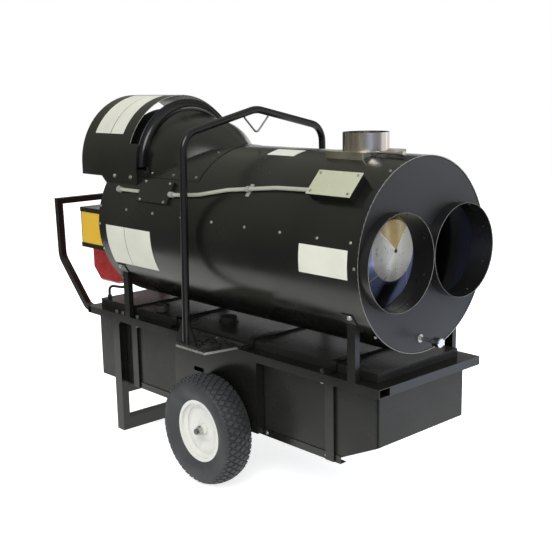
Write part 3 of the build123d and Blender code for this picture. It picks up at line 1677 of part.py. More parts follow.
with BuildPart() as cradle_legs:
    for cradle_back in cradle_backs:
        for side in (-1, 1):
            low, high = sorted((side * (frame_half_width - cradle_depth), side * frame_half_width))
            block(
                back(cradle_back) - cradle_width / 2,
                back(cradle_back) + cradle_width / 2,
                low,
                high,
                rail_top + 0.1,
                barrel_z - 120,
            )
        with BuildSketch(Plane.YZ.offset(back(cradle_back) - cradle_width / 2 - 6)):
            for side in (-1, 1):
                with BuildLine():
                    outer_arc = CenterArc((0, barrel_z), strap_radius, 270 + side * 46.5, side * 14)
                    inner_arc = CenterArc((0, barrel_z), barrel_radius, 270 + side * 46.5, side * 14)
                    Line(outer_arc @ 0, inner_arc @ 0)
                    Line(outer_arc @ 1, inner_arc @ 1)
                make_face()
        extrude(amount=cradle_width + 12)
    add(barrel_core(), mode=Mode.SUBTRACT)
finish(cradle_legs, "cradle_legs")
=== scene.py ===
import json
import random
from math import cos, radians, sin, sqrt, tau

import bmesh
import bpy
from mathutils import Matrix, Vector


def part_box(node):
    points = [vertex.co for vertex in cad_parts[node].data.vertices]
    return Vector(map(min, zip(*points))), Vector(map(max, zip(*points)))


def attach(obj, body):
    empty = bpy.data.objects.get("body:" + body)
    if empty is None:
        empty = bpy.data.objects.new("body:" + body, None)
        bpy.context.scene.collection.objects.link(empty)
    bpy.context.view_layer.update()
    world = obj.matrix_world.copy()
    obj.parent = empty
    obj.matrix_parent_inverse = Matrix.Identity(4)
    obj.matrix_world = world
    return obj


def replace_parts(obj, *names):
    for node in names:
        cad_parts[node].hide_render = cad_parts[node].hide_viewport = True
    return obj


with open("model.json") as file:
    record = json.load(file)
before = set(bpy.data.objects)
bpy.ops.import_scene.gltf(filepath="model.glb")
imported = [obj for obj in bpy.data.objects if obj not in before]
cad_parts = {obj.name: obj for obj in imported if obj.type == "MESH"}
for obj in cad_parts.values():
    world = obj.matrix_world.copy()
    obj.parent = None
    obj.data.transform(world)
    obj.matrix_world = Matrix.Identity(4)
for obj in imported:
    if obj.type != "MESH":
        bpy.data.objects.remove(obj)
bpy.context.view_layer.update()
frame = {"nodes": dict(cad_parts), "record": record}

# The looks of an indirect-fired diesel heater, in metres, in the same frame as its solids:
# X runs towards the warm-air outlets, Y to the left, Z up, and the ground is Z = 0.

MM = 0.001
barrel_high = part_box("barrel_shell")[1]
front_x = barrel_high.x
barrel_radius = barrel_high.y
barrel_z = barrel_high.z - barrel_radius


def back(distance_mm):
    """X of a place that many millimetres behind the barrel's front rim."""
    return front_x - distance_mm * MM


def outward(angle):
    """Direction out of the barrel at an angle that runs from the top towards the right side."""
    return Vector((0, -sin(radians(angle)), cos(radians(angle))))


def on_skin(distance_mm, angle, lift_mm=0.0):
    """Point on the barrel's skin, or so far above it."""
    spot = outward(angle) * (barrel_radius + lift_mm * MM)
    return Vector((back(distance_mm), spot.y, barrel_z + spot.z))


# Finishes


def new_finish(name):
    """A node material, its tree and its shader."""
    made = bpy.data.materials.new(name)
    made.use_nodes = True
    return made, made.node_tree, made.node_tree.nodes["Principled BSDF"]


def own_space(tree, stretch=(1, 1, 1)):
    """Coordinates fixed to the piece itself."""
    coordinates = tree.nodes.new("ShaderNodeTexCoord")
    mapping = tree.nodes.new("ShaderNodeMapping")
    mapping.inputs["Scale"].default_value = stretch
    tree.links.new(coordinates.outputs["Object"], mapping.inputs["Vector"])
    return mapping.outputs["Vector"]


def cloudy(tree, scale, low, high, detail=3.0, stretch=(1, 1, 1), edge=(0.3, 0.7)):
    """A soft random pattern that runs from low to high."""
    noise = tree.nodes.new("ShaderNodeTexNoise")
    noise.inputs["Scale"].default_value = scale
    noise.inputs["Detail"].default_value = detail
    tree.links.new(own_space(tree, stretch), noise.inputs["Vector"])
    return ramped(tree, noise.outputs["Fac"], *edge, low, high)


def blend_colours(tree, factor, first, second):
    """Two colours mixed by a pattern."""
    mix = tree.nodes.new("ShaderNodeMix")
    mix.data_type = "RGBA"
    mix.inputs[6].default_value = (*first, 1)
    mix.inputs[7].default_value = (*second, 1)
    tree.links.new(factor, mix.inputs[0])
    return mix.outputs[2]


def laid_over(tree, factor, below, colour):
    """A colour that covers another where a pattern is 1."""
    mix = tree.nodes.new("ShaderNodeMix")
    mix.data_type = "RGBA"
    tree.links.new(below, mix.inputs[6])
    mix.inputs[7].default_value = (*colour, 1)
    tree.links.new(factor, mix.inputs[0])
    return mix.outputs[2]


def worked(tree, operation, first, second=None):
    """One step of arithmetic on sockets or plain numbers."""
    step = tree.nodes.new("ShaderNodeMath")
    step.operation = operation
    for k, value in enumerate((first, second)):
        if isinstance(value, (int, float)):
            step.inputs[k].default_value = value
        elif value is not None:
            tree.links.new(value, step.inputs[k])
    return step.outputs[0]


def ramped(tree, value, start, end, low=0.0, high=1.0):
    """A value carried from one range to another, and held at its ends."""
    spread = tree.nodes.new("ShaderNodeMapRange")
    spread.inputs["From Min"].default_value = start
    spread.inputs["From Max"].default_value = end
    spread.inputs["To Min"].default_value = low
    spread.inputs["To Max"].default_value = high
    tree.links.new(value, spread.inputs["Value"])
    return spread.outputs["Result"]


def ripple(tree, shader, height, strength, distance):
    """Bump from a pattern."""
    bump = tree.nodes.new("ShaderNodeBump")
    bump.inputs["Strength"].default_value = strength
    bump.inputs["Distance"].default_value = distance
    tree.links.new(height, bump.inputs["Height"])
    tree.links.new(bump.outputs["Normal"], shader.inputs["Normal"])


def powder_coat(name, colour, dust, rough=(0.16, 0.30), peel=0.05, specular=0.5):
    """Sprayed enamel: slight orange peel, a film of dust and a few dull patches."""
    made, tree, shader = new_finish(name)
    overlay_mask = cloudy(tree, 2.2, 0.0, 1.0, detail=5.0, edge=(0.42, 0.75))
    tree.links.new(blend_colours(tree, overlay_mask, colour, dust), shader.inputs["Base Color"])
    tree.links.new(cloudy(tree, 6.0, *rough, detail=4.0), shader.inputs["Roughness"])
    shader.inputs["Specular IOR Level"].default_value = specular
    ripple(tree, shader, cloudy(tree, 420.0, 0.0, 1.0, detail=1.0, edge=(0.2, 0.8)), peel, 0.0006)
    return made


def bare_metal(name, colour, tint, rough=(0.2, 0.35), grain=(1, 1, 1), grain_scale=60.0, bump=0.03):
    """Bare or plated metal with a grain along one way."""
    made, tree, shader = new_finish(name)
    shader.inputs["Metallic"].default_value = 1.0
    patch = cloudy(tree, 9.0, 0.0, 1.0, detail=4.0)
    tree.links.new(blend_colours(tree, patch, colour, tint), shader.inputs["Base Color"])
    streak = cloudy(tree, grain_scale, *rough, detail=5.0, stretch=grain)
    tree.links.new(streak, shader.inputs["Roughness"])
    lines = cloudy(tree, grain_scale * 3, 0.0, 1.0, detail=3.0, stretch=grain)
    ripple(tree, shader, lines, bump, 0.0004)
    return made


def moulded(name, colour, worn, rough=(0.4, 0.6), grain_scale=900.0, bump=0.12):
    """Moulded plastic or rubber with a fine grain."""
    made, tree, shader = new_finish(name)
    patch = cloudy(tree, 7.0, 0.0, 1.0, detail=4.0)
    tree.links.new(blend_colours(tree, patch, colour, worn), shader.inputs["Base Color"])
    tree.links.new(cloudy(tree, 25.0, *rough), shader.inputs["Roughness"])
    ripple(tree, shader, cloudy(tree, grain_scale, 0.0, 1.0, detail=2.0), bump, 0.0003)
    return made


def drawn_sheet(name, colours, stretch, scale, rough):
    """Rolled stainless sheet with stripes of colour along one way and darker patches; on the flue collar
    these are painted reflections, on the flue box tarnish.
    """
    made, tree, shader = new_finish(name)
    stripe = cloudy(tree, scale, 0.0, 1.0, detail=2.0, stretch=stretch, edge=(0.38, 0.62))
    overlay_mask = cloudy(tree, scale * 0.6, 0.0, 1.0, detail=3.0, stretch=stretch, edge=(0.5, 0.66))
    colour = blend_colours(tree, stripe, colours[0], colours[1])
    tree.links.new(laid_over(tree, overlay_mask, colour, colours[2]), shader.inputs["Base Color"])
    shader.inputs["Metallic"].default_value = 1.0
    tree.links.new(cloudy(tree, scale * 4, *rough, stretch=stretch), shader.inputs["Roughness"])
    return made


def nose_metal():
    """Four welded quadrants, the upper one tinted by heat, on a blued flank that a painted shadow darkens
    below.
    """
    cone_edge = 0.099
    seam_edge = 0.0045
    dimple_edge = 0.008
    # Where the painted shadow starts below the axis, and its half width
    shadow_top, shadow_half = -0.070, 0.055
    made, tree, shader = new_finish("nose_metal")

    def step(operation, first, second=None):
        """One step of arithmetic in this tree."""
        return worked(tree, operation, first, second)

    split = tree.nodes.new("ShaderNodeSeparateXYZ")
    tree.links.new(own_space(tree), split.inputs["Vector"])
    rise = step("SUBTRACT", split.outputs["Z"], barrel_z)
    wide = step("ABSOLUTE", split.outputs["Y"])
    tall = step("ABSOLUTE", rise)
    across = step("SQRT", step("ADD", step("POWER", wide, 2), step("POWER", tall, 2)))
    off_seam = step("ABSOLUTE", step("SUBTRACT", wide, tall))
    fold = ramped(tree, wide, 0.022, 0.004, 0.0, 0.45)
    flank = ramped(tree, across, cone_edge - 0.002, cone_edge + 0.002)
    # Painted shadow: near-black low on the flank, where shade falls under the nose
    low = ramped(tree, rise, shadow_top, shadow_top - 0.040)
    painted_shadow = step("MULTIPLY", step("MULTIPLY", low, ramped(tree, wide, shadow_half, shadow_half - 0.025)), flank)
    upper = ramped(tree, step("SUBTRACT", rise, wide), -0.001, 0.001)
    upper_fold = step("MULTIPLY", upper, ramped(tree, wide, 0.03, 0.01))
    seam = ramped(tree, off_seam, seam_edge, seam_edge - 0.0025)
    dimple = ramped(tree, across, dimple_edge, dimple_edge - 0.002)

    colour = blend_colours(tree, cloudy(tree, 14, 0, 1), (0.92, 0.89, 0.82), (0.80, 0.77, 0.70))
    for factor, layer in (
        (fold, (0.42, 0.38, 0.22)),
        (flank, (0.34, 0.38, 0.66)),
        # painted shadow below the nose
        (painted_shadow, (0.02, 0.02, 0.02)),
        (upper, (0.62, 0.50, 0.30)),
        (upper_fold, (0.40, 0.29, 0.12)),
        (seam, (0.88, 0.85, 0.78)),
        (dimple, (0.03, 0.03, 0.03)),
    ):
        colour = laid_over(tree, factor, colour, layer)
    tree.links.new(colour, shader.inputs["Base Color"])
    shader.inputs["Metallic"].default_value = 0.65
    tree.links.new(cloudy(tree, 70, 0.26, 0.42), shader.inputs["Roughness"])
    ripple(tree, shader, ramped(tree, off_seam, 0.005, 0.001), 0.5, 0.001)
    return made


finishes = {
    "black_paint": powder_coat("black_paint", (0.0056, 0.0056, 0.0047), (0.0125, 0.0125, 0.0100)),
    "grey_paint": powder_coat("grey_paint", (0.016, 0.016, 0.0175), (0.025, 0.025, 0.027), (0.28, 0.42)),
    "tank_paint": powder_coat(
        "tank_paint", (0.012, 0.012, 0.011), (0.022, 0.022, 0.020), (0.22, 0.36), specular=0.3
    ),
    "white_paint": powder_coat("white_paint", (0.84, 0.84, 0.80), (0.72, 0.71, 0.65), (0.16, 0.30), 0.03),
    "yellow_paint": powder_coat("yellow_paint", (0.72, 0.44, 0.02), (0.60, 0.36, 0.03), (0.30, 0.45), 0.02),
    "motor_casing": powder_coat("motor_casing", (0.09, 0.10, 0.11), (0.06, 0.06, 0.06), (0.35, 0.5), 0.15),
    "cast_aluminium": bare_metal(
        "cast_aluminium", (0.42, 0.42, 0.43), (0.30, 0.30, 0.31), (0.4, 0.6), bump=0.2
    ),
    "fan_aluminium": bare_metal("fan_aluminium", (0.50, 0.51, 0.52), (0.36, 0.37, 0.38), (0.28, 0.45)),
    "galvanised": powder_coat("galvanised", (0.007, 0.007, 0.007), (0.012, 0.012, 0.011), (0.22, 0.36)),
    "bright_steel": bare_metal("bright_steel", (0.62, 0.61, 0.58), (0.48, 0.47, 0.44), (0.22, 0.42)),
    "dark_steel": bare_metal("dark_steel", (0.20, 0.20, 0.20), (0.11, 0.10, 0.10), (0.3, 0.5)),
    "stainless": bare_metal(
        "stainless", (0.66, 0.63, 0.60), (0.56, 0.52, 0.47), (0.08, 0.2), (1, 1, 0.05), 120.0
    ),
    "heat_steel": bare_metal("heat_steel", (0.66, 0.63, 0.56), (0.55, 0.52, 0.46), (0.3, 0.5), bump=0.05),
    "red_plastic": moulded("red_plastic", (0.42, 0.012, 0.012), (0.36, 0.02, 0.02), (0.2, 0.35), bump=0.04),
    "black_plastic": moulded("black_plastic", (0.012, 0.012, 0.012), (0.02, 0.02, 0.02)),
    "grey_plastic": moulded("grey_plastic", (0.30, 0.30, 0.28), (0.22, 0.22, 0.20)),
    "conduit_plastic": moulded("conduit_plastic", (0.40, 0.40, 0.33), (0.31, 0.31, 0.25), (0.3, 0.5)),
    "black_rubber": moulded("black_rubber", (0.012, 0.012, 0.012), (0.02, 0.02, 0.02), (0.45, 0.65)),
    "tyre_rubber": moulded("tyre_rubber", (0.026, 0.027, 0.030), (0.052, 0.054, 0.059), (0.5, 0.7)),
    "label_cream": moulded("label_cream", (0.66, 0.66, 0.56), (0.58, 0.58, 0.49), (0.35, 0.5), bump=0.02),
    # Light grey that stands in for a painted highlight along rolled edges and the hood's mouth
    "painted_edge_highlight": powder_coat("painted_edge_highlight", (0.24, 0.24, 0.23), (0.42, 0.42, 0.40), (0.3, 0.45), 0.02),
    "khaki_paint": powder_coat("khaki_paint", (0.38, 0.39, 0.27), (0.45, 0.46, 0.34), (0.25, 0.38), 0.03),
    "chrome": bare_metal("chrome", (0.80, 0.80, 0.80), (0.70, 0.70, 0.70), (0.12, 0.2), bump=0.01),
    "nose_metal": nose_metal(),
    # Flue collar: white, tan and dark stripes that are painted reflections
    "flue_sheet": drawn_sheet(
        "flue_sheet",
        ((0.90, 0.88, 0.84), (0.50, 0.44, 0.36), (0.14, 0.12, 0.10)),
        (1, 1, 0.03),
        26.0,
        (0.12, 0.3),
    ),
    "tarnished_sheet": drawn_sheet(
        "tarnished_sheet",
        ((0.62, 0.60, 0.50), (0.42, 0.39, 0.29), (0.22, 0.19, 0.13)),
        (1, 1, 1),
        12.0,
        (0.25, 0.45),
    ),
}
slot_of = {part["node"]: part["material_slot"] for part in frame["record"]["subparts"]}
own_finish = {
    "chamber_nose": "nose_metal",
    "flue_collar": "flue_sheet",
    "flue_box": "tarnished_sheet",
    "junction_box_lid": "khaki_paint",
    "front_knob": "chrome",
    "knob_stud": "bright_steel",
    "control_box_cover": "black_paint",
}
for node, shown in frame["nodes"].items():
    shown.data.materials.clear()
    shown.data.materials.append(finishes[own_finish.get(node, slot_of[node])])


# Mesh making


def new_piece(name, mesh, slot, body="heater"):
    """Put a finished mesh in the scene, in its finish and on the body that carries it."""
    mesh.materials.clear()
    mesh.materials.append(finishes[slot])
    piece = bpy.data.objects.new(name, mesh)
    bpy.context.scene.collection.objects.link(piece)
    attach(piece, body)
    return piece


def mesh_from(name, points, faces, smooth=True):
    """Mesh with its normals turned outwards."""
    mesh = bpy.data.meshes.new(name)
    mesh.from_pydata([tuple(p) for p in points], [], faces)
    work = bmesh.new()
    work.from_mesh(mesh)
    bmesh.ops.remove_doubles(work, verts=work.verts, dist=1e-6)
    bmesh.ops.recalc_face_normals(work, faces=work.faces)
    work.to_mesh(mesh)
    work.free()
    if smooth:
        mesh.shade_smooth()
    else:
        mesh.shade_flat()
    return mesh


def turned(name, centre, axis, outline, steps):
    """Solid of revolution: a closed outline of (radius, along), turned about an axis through centre."""
    axis = Vector(axis)
    side = axis.orthogonal().normalized()
    other = axis.cross(side)
    points = []
    for row in range(steps):
        turn = tau * row / steps
        spoke = side * cos(turn) + other * sin(turn)
        points += [Vector(centre) + spoke * radius + axis * along for radius, along in outline]
    count = len(outline)
    faces = []
    for row in range(steps):
        here, there = row * count, (row + 1) % steps * count
        for k in range(count):
            after = (k + 1) % count
            faces.append((here + k, here + after, there + after, there + k))
    return mesh_from(name, points, faces)


def round_outline(radius, along, size, steps=10):
    """Circle of that size in the (radius, along) plane."""
    turns = [tau * k / steps for k in range(steps)]
    return [(radius + size * cos(turn), along + size * sin(turn)) for turn in turns]


def skin_plate(name, backs, angles, lift=(0.2, 0.8), centre_z=None, radius=None, steps=24):
    """Thin plate bent round a cylinder, between two distances back and two angles."""
    centre_z = barrel_z if centre_z is None else centre_z
    radius = barrel_radius if radius is None else radius
    points, faces = [], []
    for k in range(steps + 1):
        angle = angles[0] + (angles[1] - angles[0]) * k / steps
        for distance in backs:
            for height in lift:
                spot = outward(angle) * (radius + height * MM)
                points.append((back(distance), spot.y, centre_z + spot.z))
    for k in range(steps):
        a, b = 4 * k, 4 * k + 4
        faces += [
            (a + 1, a + 3, b + 3, b + 1),
            (a, b, b + 2, a + 2),
            (a, a + 1, b + 1, b),
            (a + 2, b + 2, b + 3, a + 3),
        ]
    end = 4 * steps
    faces += [(0, 2, 3, 1), (end, end + 1, end + 3, end + 2)]
    return mesh_from(name, points, faces, smooth=False)


# What repeats: a tree stands a shape on each point, its Z the way the point faces and its X along


def standing_tree(name, sizes, shape):
    """Tree with named sizes that stands a copy of a shape on every point that it is given."""
    tree = bpy.data.node_groups.new(name, "GeometryNodeTree")
    socket = tree.interface.new_socket
    socket("Geometry", in_out="INPUT", socket_type="NodeSocketGeometry")
    for size in sizes:
        socket(size, in_out="INPUT", socket_type="NodeSocketFloat")
    socket("Finish", in_out="INPUT", socket_type="NodeSocketMaterial")
    socket("Geometry", in_out="OUTPUT", socket_type="NodeSocketGeometry")
    node, link = tree.nodes.new, tree.links.new
    given, result = node("NodeGroupInput"), node("NodeGroupOutput")

    def way(label):
        """A direction kept on the points."""
        stored = node("GeometryNodeInputNamedAttribute")
        stored.data_type = "FLOAT_VECTOR"
        stored.inputs["Name"].default_value = label
        return stored.outputs["Attribute"]

    face = node("FunctionNodeAlignRotationToVector")
    face.axis = "Z"
    link(way("facing"), face.inputs["Vector"])
    swing = node("FunctionNodeAlignRotationToVector")
    swing.axis, swing.pivot_axis = "X", "Z"
    link(face.outputs["Rotation"], swing.inputs["Rotation"])
    link(way("along"), swing.inputs["Vector"])
    stand = node("GeometryNodeInstanceOnPoints")
    link(given.outputs["Geometry"], stand.inputs["Points"])
    link(shape(tree, given), stand.inputs["Instance"])
    link(swing.outputs["Rotation"], stand.inputs["Rotation"])
    real = node("GeometryNodeRealizeInstances")
    link(stand.outputs["Instances"], real.inputs["Geometry"])
    paint = node("GeometryNodeSetMaterial")
    link(real.outputs["Geometry"], paint.inputs["Geometry"])
    link(given.outputs["Finish"], paint.inputs["Material"])
    link(paint.outputs["Geometry"], result.inputs["Geometry"])
    return tree


def stub(tree, sides, low, high, depth, level, squeeze=None):
    """Short cone or prism whose foot is at that level."""
    cone = tree.nodes.new("GeometryNodeMeshCone")
    cone.inputs["Vertices"].default_value = sides
    tree.links.new(low, cone.inputs["Radius Bottom"])
    tree.links.new(high, cone.inputs["Radius Top"])
    tree.links.new(depth, cone.inputs["Depth"])
    lift = tree.nodes.new("ShaderNodeCombineXYZ")
    if level is not None:
        tree.links.new(level, lift.inputs["Z"])
    move = tree.nodes.new("GeometryNodeTransform")
    tree.links.new(cone.outputs["Mesh"], move.inputs["Geometry"])
    tree.links.new(lift.outputs["Vector"], move.inputs["Translation"])
    if squeeze is not None:
        scale = tree.nodes.new("ShaderNodeCombineXYZ")
        scale.inputs["X"].default_value = 1.0
        scale.inputs["Z"].default_value = 1.0
        tree.links.new(squeeze, scale.inputs["Y"])
        tree.links.new(scale.outputs["Vector"], move.inputs["Scale"])
    return move.outputs["Geometry"]


def hexagon_head(tree, given):
    """Washer face, hexagon and its chamfered crown."""
    size = given.outputs
    lower = worked(tree, "MULTIPLY", size["Head height"], 0.7)
    crown = worked(tree, "MULTIPLY", size["Head height"], 0.3)
    rim = worked(tree, "MULTIPLY", size["Washer radius"], 0.94)
    small = worked(tree, "MULTIPLY", size["Head radius"], 0.80)
    top = worked(tree, "ADD", size["Washer height"], lower)
    joined = tree.nodes.new("GeometryNodeJoinGeometry")
    for solid in (
        stub(tree, 16, size["Washer radius"], rim, size["Washer height"], None),
        stub(tree, 6, size["Head radius"], size["Head radius"], lower, size["Washer height"]),
        stub(tree, 6, size["Head radius"], small, crown, top),
    ):
        tree.links.new(solid, joined.inputs[0])
    return joined.outputs["Geometry"]


def diamond_block(tree, given):
    """Four-sided block with sloping flanks."""
    size = given.outputs
    crown = worked(tree, "MULTIPLY", size["Half length"], 0.80)
    ratio = worked(tree, "DIVIDE", size["Half width"], size["Half length"])
    return stub(tree, 4, size["Half length"], crown, size["Height"], None, ratio)


fastener_heads = standing_tree(
    "fastener_heads", ("Head radius", "Head height", "Washer radius", "Washer height"), hexagon_head
)
tread_blocks = standing_tree("tread_blocks", ("Half length", "Half width", "Height"), diamond_block)


def grown(name, tree, mesh, settings, slot, body):
    """Run a tree on a mesh and keep what it makes as a plain mesh."""
    seed = bpy.data.objects.new(name, mesh)
    bpy.context.scene.collection.objects.link(seed)
    modifier = seed.modifiers.new("make", "NODES")
    modifier.node_group = tree
    settings = {**settings, "Finish": finishes[slot]}
    for item in tree.interface.items_tree:
        if item.in_out == "INPUT" and item.name in settings:
            modifier[item.identifier] = settings[item.name]
    graph = bpy.context.evaluated_depsgraph_get()
    made = bpy.data.meshes.new_from_object(seed.evaluated_get(graph))
    bpy.data.objects.remove(seed)
    new_piece(name, made, slot, body)


def stood(name, tree, spots, sizes_mm, slot, body="heater"):
    """Copies of a tree's shape at (place, facing, along) spots, its sizes in millimetres."""
    cloud = bpy.data.meshes.new(name)
    cloud.from_pydata([tuple(spot[0]) for spot in spots], [], [])
    for column, label in ((1, "facing"), (2, "along")):
        layer = cloud.attributes.new(label, "FLOAT_VECTOR", "POINT")
        for k, spot in enumerate(spots):
            layer.data[k].vector = spot[column]
    grown(name, tree, cloud, {size: mm * MM for size, mm in sizes_mm.items()}, slot, body)


spin_dice = random.Random(7)


def heads(name, spots, head, washer, slot="bright_steel"):
    """Fastener heads at (place, facing) spots; head and washer are radius and height in millimetres."""
    turned_spots = []
    for place, facing in spots:
        facing = Vector(facing)
        side = facing.orthogonal()
        side.rotate(Matrix.Rotation(spin_dice.uniform(0, tau), 3, facing))
        turned_spots.append((place, facing, side))
    sizes = {
        "Head radius": head[0],
        "Head height": head[1],
        "Washer radius": washer[0],
        "Washer height": washer[1],
    }
    stood(name, fastener_heads, turned_spots, sizes, slot)


def skin_spots(places, lift=0.0):
    """Spots on the barrel from (distance back, angle) pairs."""
    return [(on_skin(distance, angle, lift), outward(angle)) for distance, angle in places]


def flat_spots(distance_mm, angle, lift_mm, offsets):
    """Spots on a flat cover that touches the barrel: offsets forwards and up round it, in millimetres."""
    away = outward(angle)
    middle = on_skin(distance_mm, angle, lift_mm)
    upwards = Vector((1, 0, 0)).cross(away)
    return [(middle + Vector((ahead * MM, 0, 0)) + upwards * (rise * MM), away) for ahead, rise in offsets]


# Screws and bolts, on the barrel at millimetres back and degrees from the crown

small_head, small_washer = (3.6, 3.2), (5.6, 1.0)
lid_head, lid_washer = (3.0, 2.6), (4.6, 0.8)
saddle_lift = 1.8
strap_lift = 3.3
both_sides = (-1, 1)

seam_backs = (35, 170, 331, 497, 665, 832, 1000, 1165)
seam_places = [(d, a) for d in seam_backs for a in (76.3, 283.7)]
heads("seam_screws", skin_spots(seam_places), small_head, small_washer)
rim_places = [(14, a) for a in (29, 90, 136, 180, 224, 270, 331)]
rim_places += [(1338, a) for a in (76, 89, 108, 140, 180, 220, 252, 271, 284)]
heads("rim_screws", skin_spots(rim_places), small_head, small_washer)
saddle_places = [(d, s * 47.9) for d in (1085, 957, 826) for s in both_sides]
saddle_places += [(836, s * 22.3) for s in both_sides]
heads("saddle_screws", skin_spots(saddle_places, saddle_lift), small_head, small_washer)
cover_spots = flat_spots(1008, 61.75, 9.0, [(x, y) for x in (-72, 72) for y in (-35, 35)])
heads("side_cover_screws", cover_spots, small_head, small_washer)
lid_spots = flat_spots(147, 46.8, 33.0, [(x, y) for x in (-76, 76) for y in (-34, 34)])
heads("junction_lid_screws", lid_spots, lid_head, lid_washer)

hood_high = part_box("rain_hood")[1]
hood_radius = hood_high.y
hood_z = hood_high.z - hood_radius
hood_bolt_z = hood_z - 36 * MM
hood_bolt_places = [(back(d), s * hood_radius, hood_bolt_z) for d in (1286, 1181) for s in both_sides]
heads("hood_bolts", [(p, (0, p[1], 0)) for p in hood_bolt_places], (6.5, 5.0), (9.0, 1.6))

cradle_places = [(d, a) for d in (71, 1270) for a in (121.5, 238.5)]
heads("cradle_bolts", skin_spots(cradle_places, strap_lift), (6.0, 4.5), (9.0, 1.6))
rail_face = abs(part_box("lower_rails")[0].y)
foot_bolt_z = 205 * MM
foot_spots = [((back(d), s * rail_face, foot_bolt_z), (0, s, 0)) for d in (499, 215) for s in both_sides]
heads("foot_bolts", foot_spots, (5.5, 4.0), (7.5, 1.2))


# Wheels: blocks and shoulder lugs on a rounded carcass, which stands for the tyre

blocks_round = 48
tread_height = 5.5 * MM
block_sink = 0.8 * MM
block_sizes = {"Half length": 10.6, "Half width": 14.5, "Height": 6.1}
lug_sizes = {"Half length": 8.2, "Half width": 11.0, "Height": 5.0}
lug_drop = 14.5 * MM
lug_y = 47.2 * MM
lug_outward, lug_sideways = 0.62, 0.78
# Rows of blocks: half a pitch of shift or none, then millimetres across the tread
tread_rows = ((0, 0), (1, 18), (1, -18), (0, 36), (0, -36))

crown_bend = 100.0 * MM
crown_half_width = 46 * MM
crown_steps = 24
shoulder_drop, shoulder_y = 3 * MM, 50 * MM
bead_radius, bead_y = 104 * MM, 36 * MM
# Side wall from below the shoulder to the bead: millimetres of radius, then across
side_wall = ((172, 54.5), (158, 56.6), (143, 56.2), (129, 52.5), (118, 46), (112.5, 39))


def spoke_at(turn):
    """Direction out of a wheel's axle at a turn from the top."""
    return Vector((sin(turn), 0, cos(turn)))


def crown_drop(across):
    """How far the crown has fallen from its highest line at a distance across the tread."""
    return crown_bend - sqrt(crown_bend**2 - across**2)


def block_spots(centre, carcass_radius):
    """Spots of the blocks, in rows round the crown."""
    spots = []
    for shift, across_mm in tread_rows:
        across = across_mm * MM
        for k in range(blocks_round):
            spoke = spoke_at(tau * (k + shift / 2) / blocks_round)
            place = centre + spoke * (carcass_radius - crown_drop(across)) + Vector((0, across, 0))
            facing = spoke * sqrt(1 - (across / crown_bend) ** 2) + Vector((0, across / crown_bend, 0))
            spots.append((place - facing * block_sink, facing, Vector((0, 1, 0)).cross(spoke)))
    return spots


def lug_spots(centre, carcass_radius):
    """Spots of the lugs, in pairs on the shoulders between the blocks."""
    spots = []
    for k in range(blocks_round):
        spoke = spoke_at(tau * (k + 0.5) / blocks_round)
        for way in both_sides:
            facing = (spoke * lug_outward + Vector((0, way * lug_sideways, 0))).normalized()
            place = centre + spoke * (carcass_radius - lug_drop) + Vector((0, way * lug_y, 0))
            spots.append((place, facing, Vector((0, 1, 0)).cross(spoke)))
    return spots


def carcass_outline(carcass_radius):
    """Closed outline of the tyre: crown, one side wall, both beads and the other side wall."""
    crown = []
    for k in range(crown_steps + 1):
        across = (2 * k / crown_steps - 1) * crown_half_width
        crown.append((carcass_radius - crown_drop(across), across))
    wall = [(crown[-1][0] - shoulder_drop, shoulder_y)]
    wall += [(radius * MM, across * MM) for radius, across in side_wall]
    wall.append((bead_radius, bead_y))
    return crown + wall + [(radius, -across) for radius, across in reversed(wall)]


def dress_wheel(name):
    """Tread, shoulders and carcass of one wheel."""
    body = f"{name}_wheel"
    tyre_low, tyre_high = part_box(f"{name}_tyre")
    wheel_radius = tyre_high.z / 2
    centre = Vector(((tyre_low.x + tyre_high.x) / 2, (tyre_low.y + tyre_high.y) / 2, wheel_radius))
    carcass_radius = wheel_radius - tread_height
    for label, spots, sizes in (
        ("tread", block_spots(centre, carcass_radius), block_sizes),
        ("shoulder_lugs", lug_spots(centre, carcass_radius), lug_sizes),
    ):
        stood(f"{name}_{label}", tread_blocks, spots, sizes, "tyre_rubber", body)
    carcass = turned(f"{name}_carcass", centre, (0, 1, 0), carcass_outline(carcass_radius), 120)
    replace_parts(new_piece(f"{name}_carcass", carcass, "tyre_rubber", body), f"{name}_tyre")


dress_wheel("right")
dress_wheel("left")


# Duct collars and front rim: hemmed edges, coloured light grey as a painted highlight

hem_setback = 1.0 * MM


def hem(name, centre, radius, size, steps):
    """Rolled edge of a round sheet that faces forwards, light grey as a painted highlight."""
    outline = round_outline(radius, -hem_setback, size)
    new_piece(name, turned(name, centre, (1, 0, 0), outline, steps), "painted_edge_highlight")


collar_skin = 1.2 * MM
collar_screws = 8
collar_screw_inset = 30 * MM
for name in ("right", "left"):
    collar_low, collar_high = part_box(f"{name}_outlet")
    collar_radius = (collar_high.z - collar_low.z) / 2
    centre = Vector((collar_high.x, (collar_low.y + collar_high.y) / 2, barrel_z))
    hem(f"{name}_collar_hem", centre, collar_radius - 0.7 * MM, 1.0 * MM, 128)
    inner_spots = []
    for k in range(collar_screws):
        turn = tau * (k + 0.5) / collar_screws
        spoke = Vector((0, cos(turn), sin(turn)))
        place = centre + spoke * (collar_radius - collar_skin) - Vector((collar_screw_inset, 0, 0))
        inner_spots.append((place, -spoke))
    heads(f"{name}_collar_screws", inner_spots, (3.0, 2.4), (4.4, 0.8), "dark_steel")
hem("front_rim_hem", (front_x, 0, barrel_z), barrel_radius - 1.2 * MM, 1.2 * MM, 160)


# Blank labels, each a sheet on a cylinder

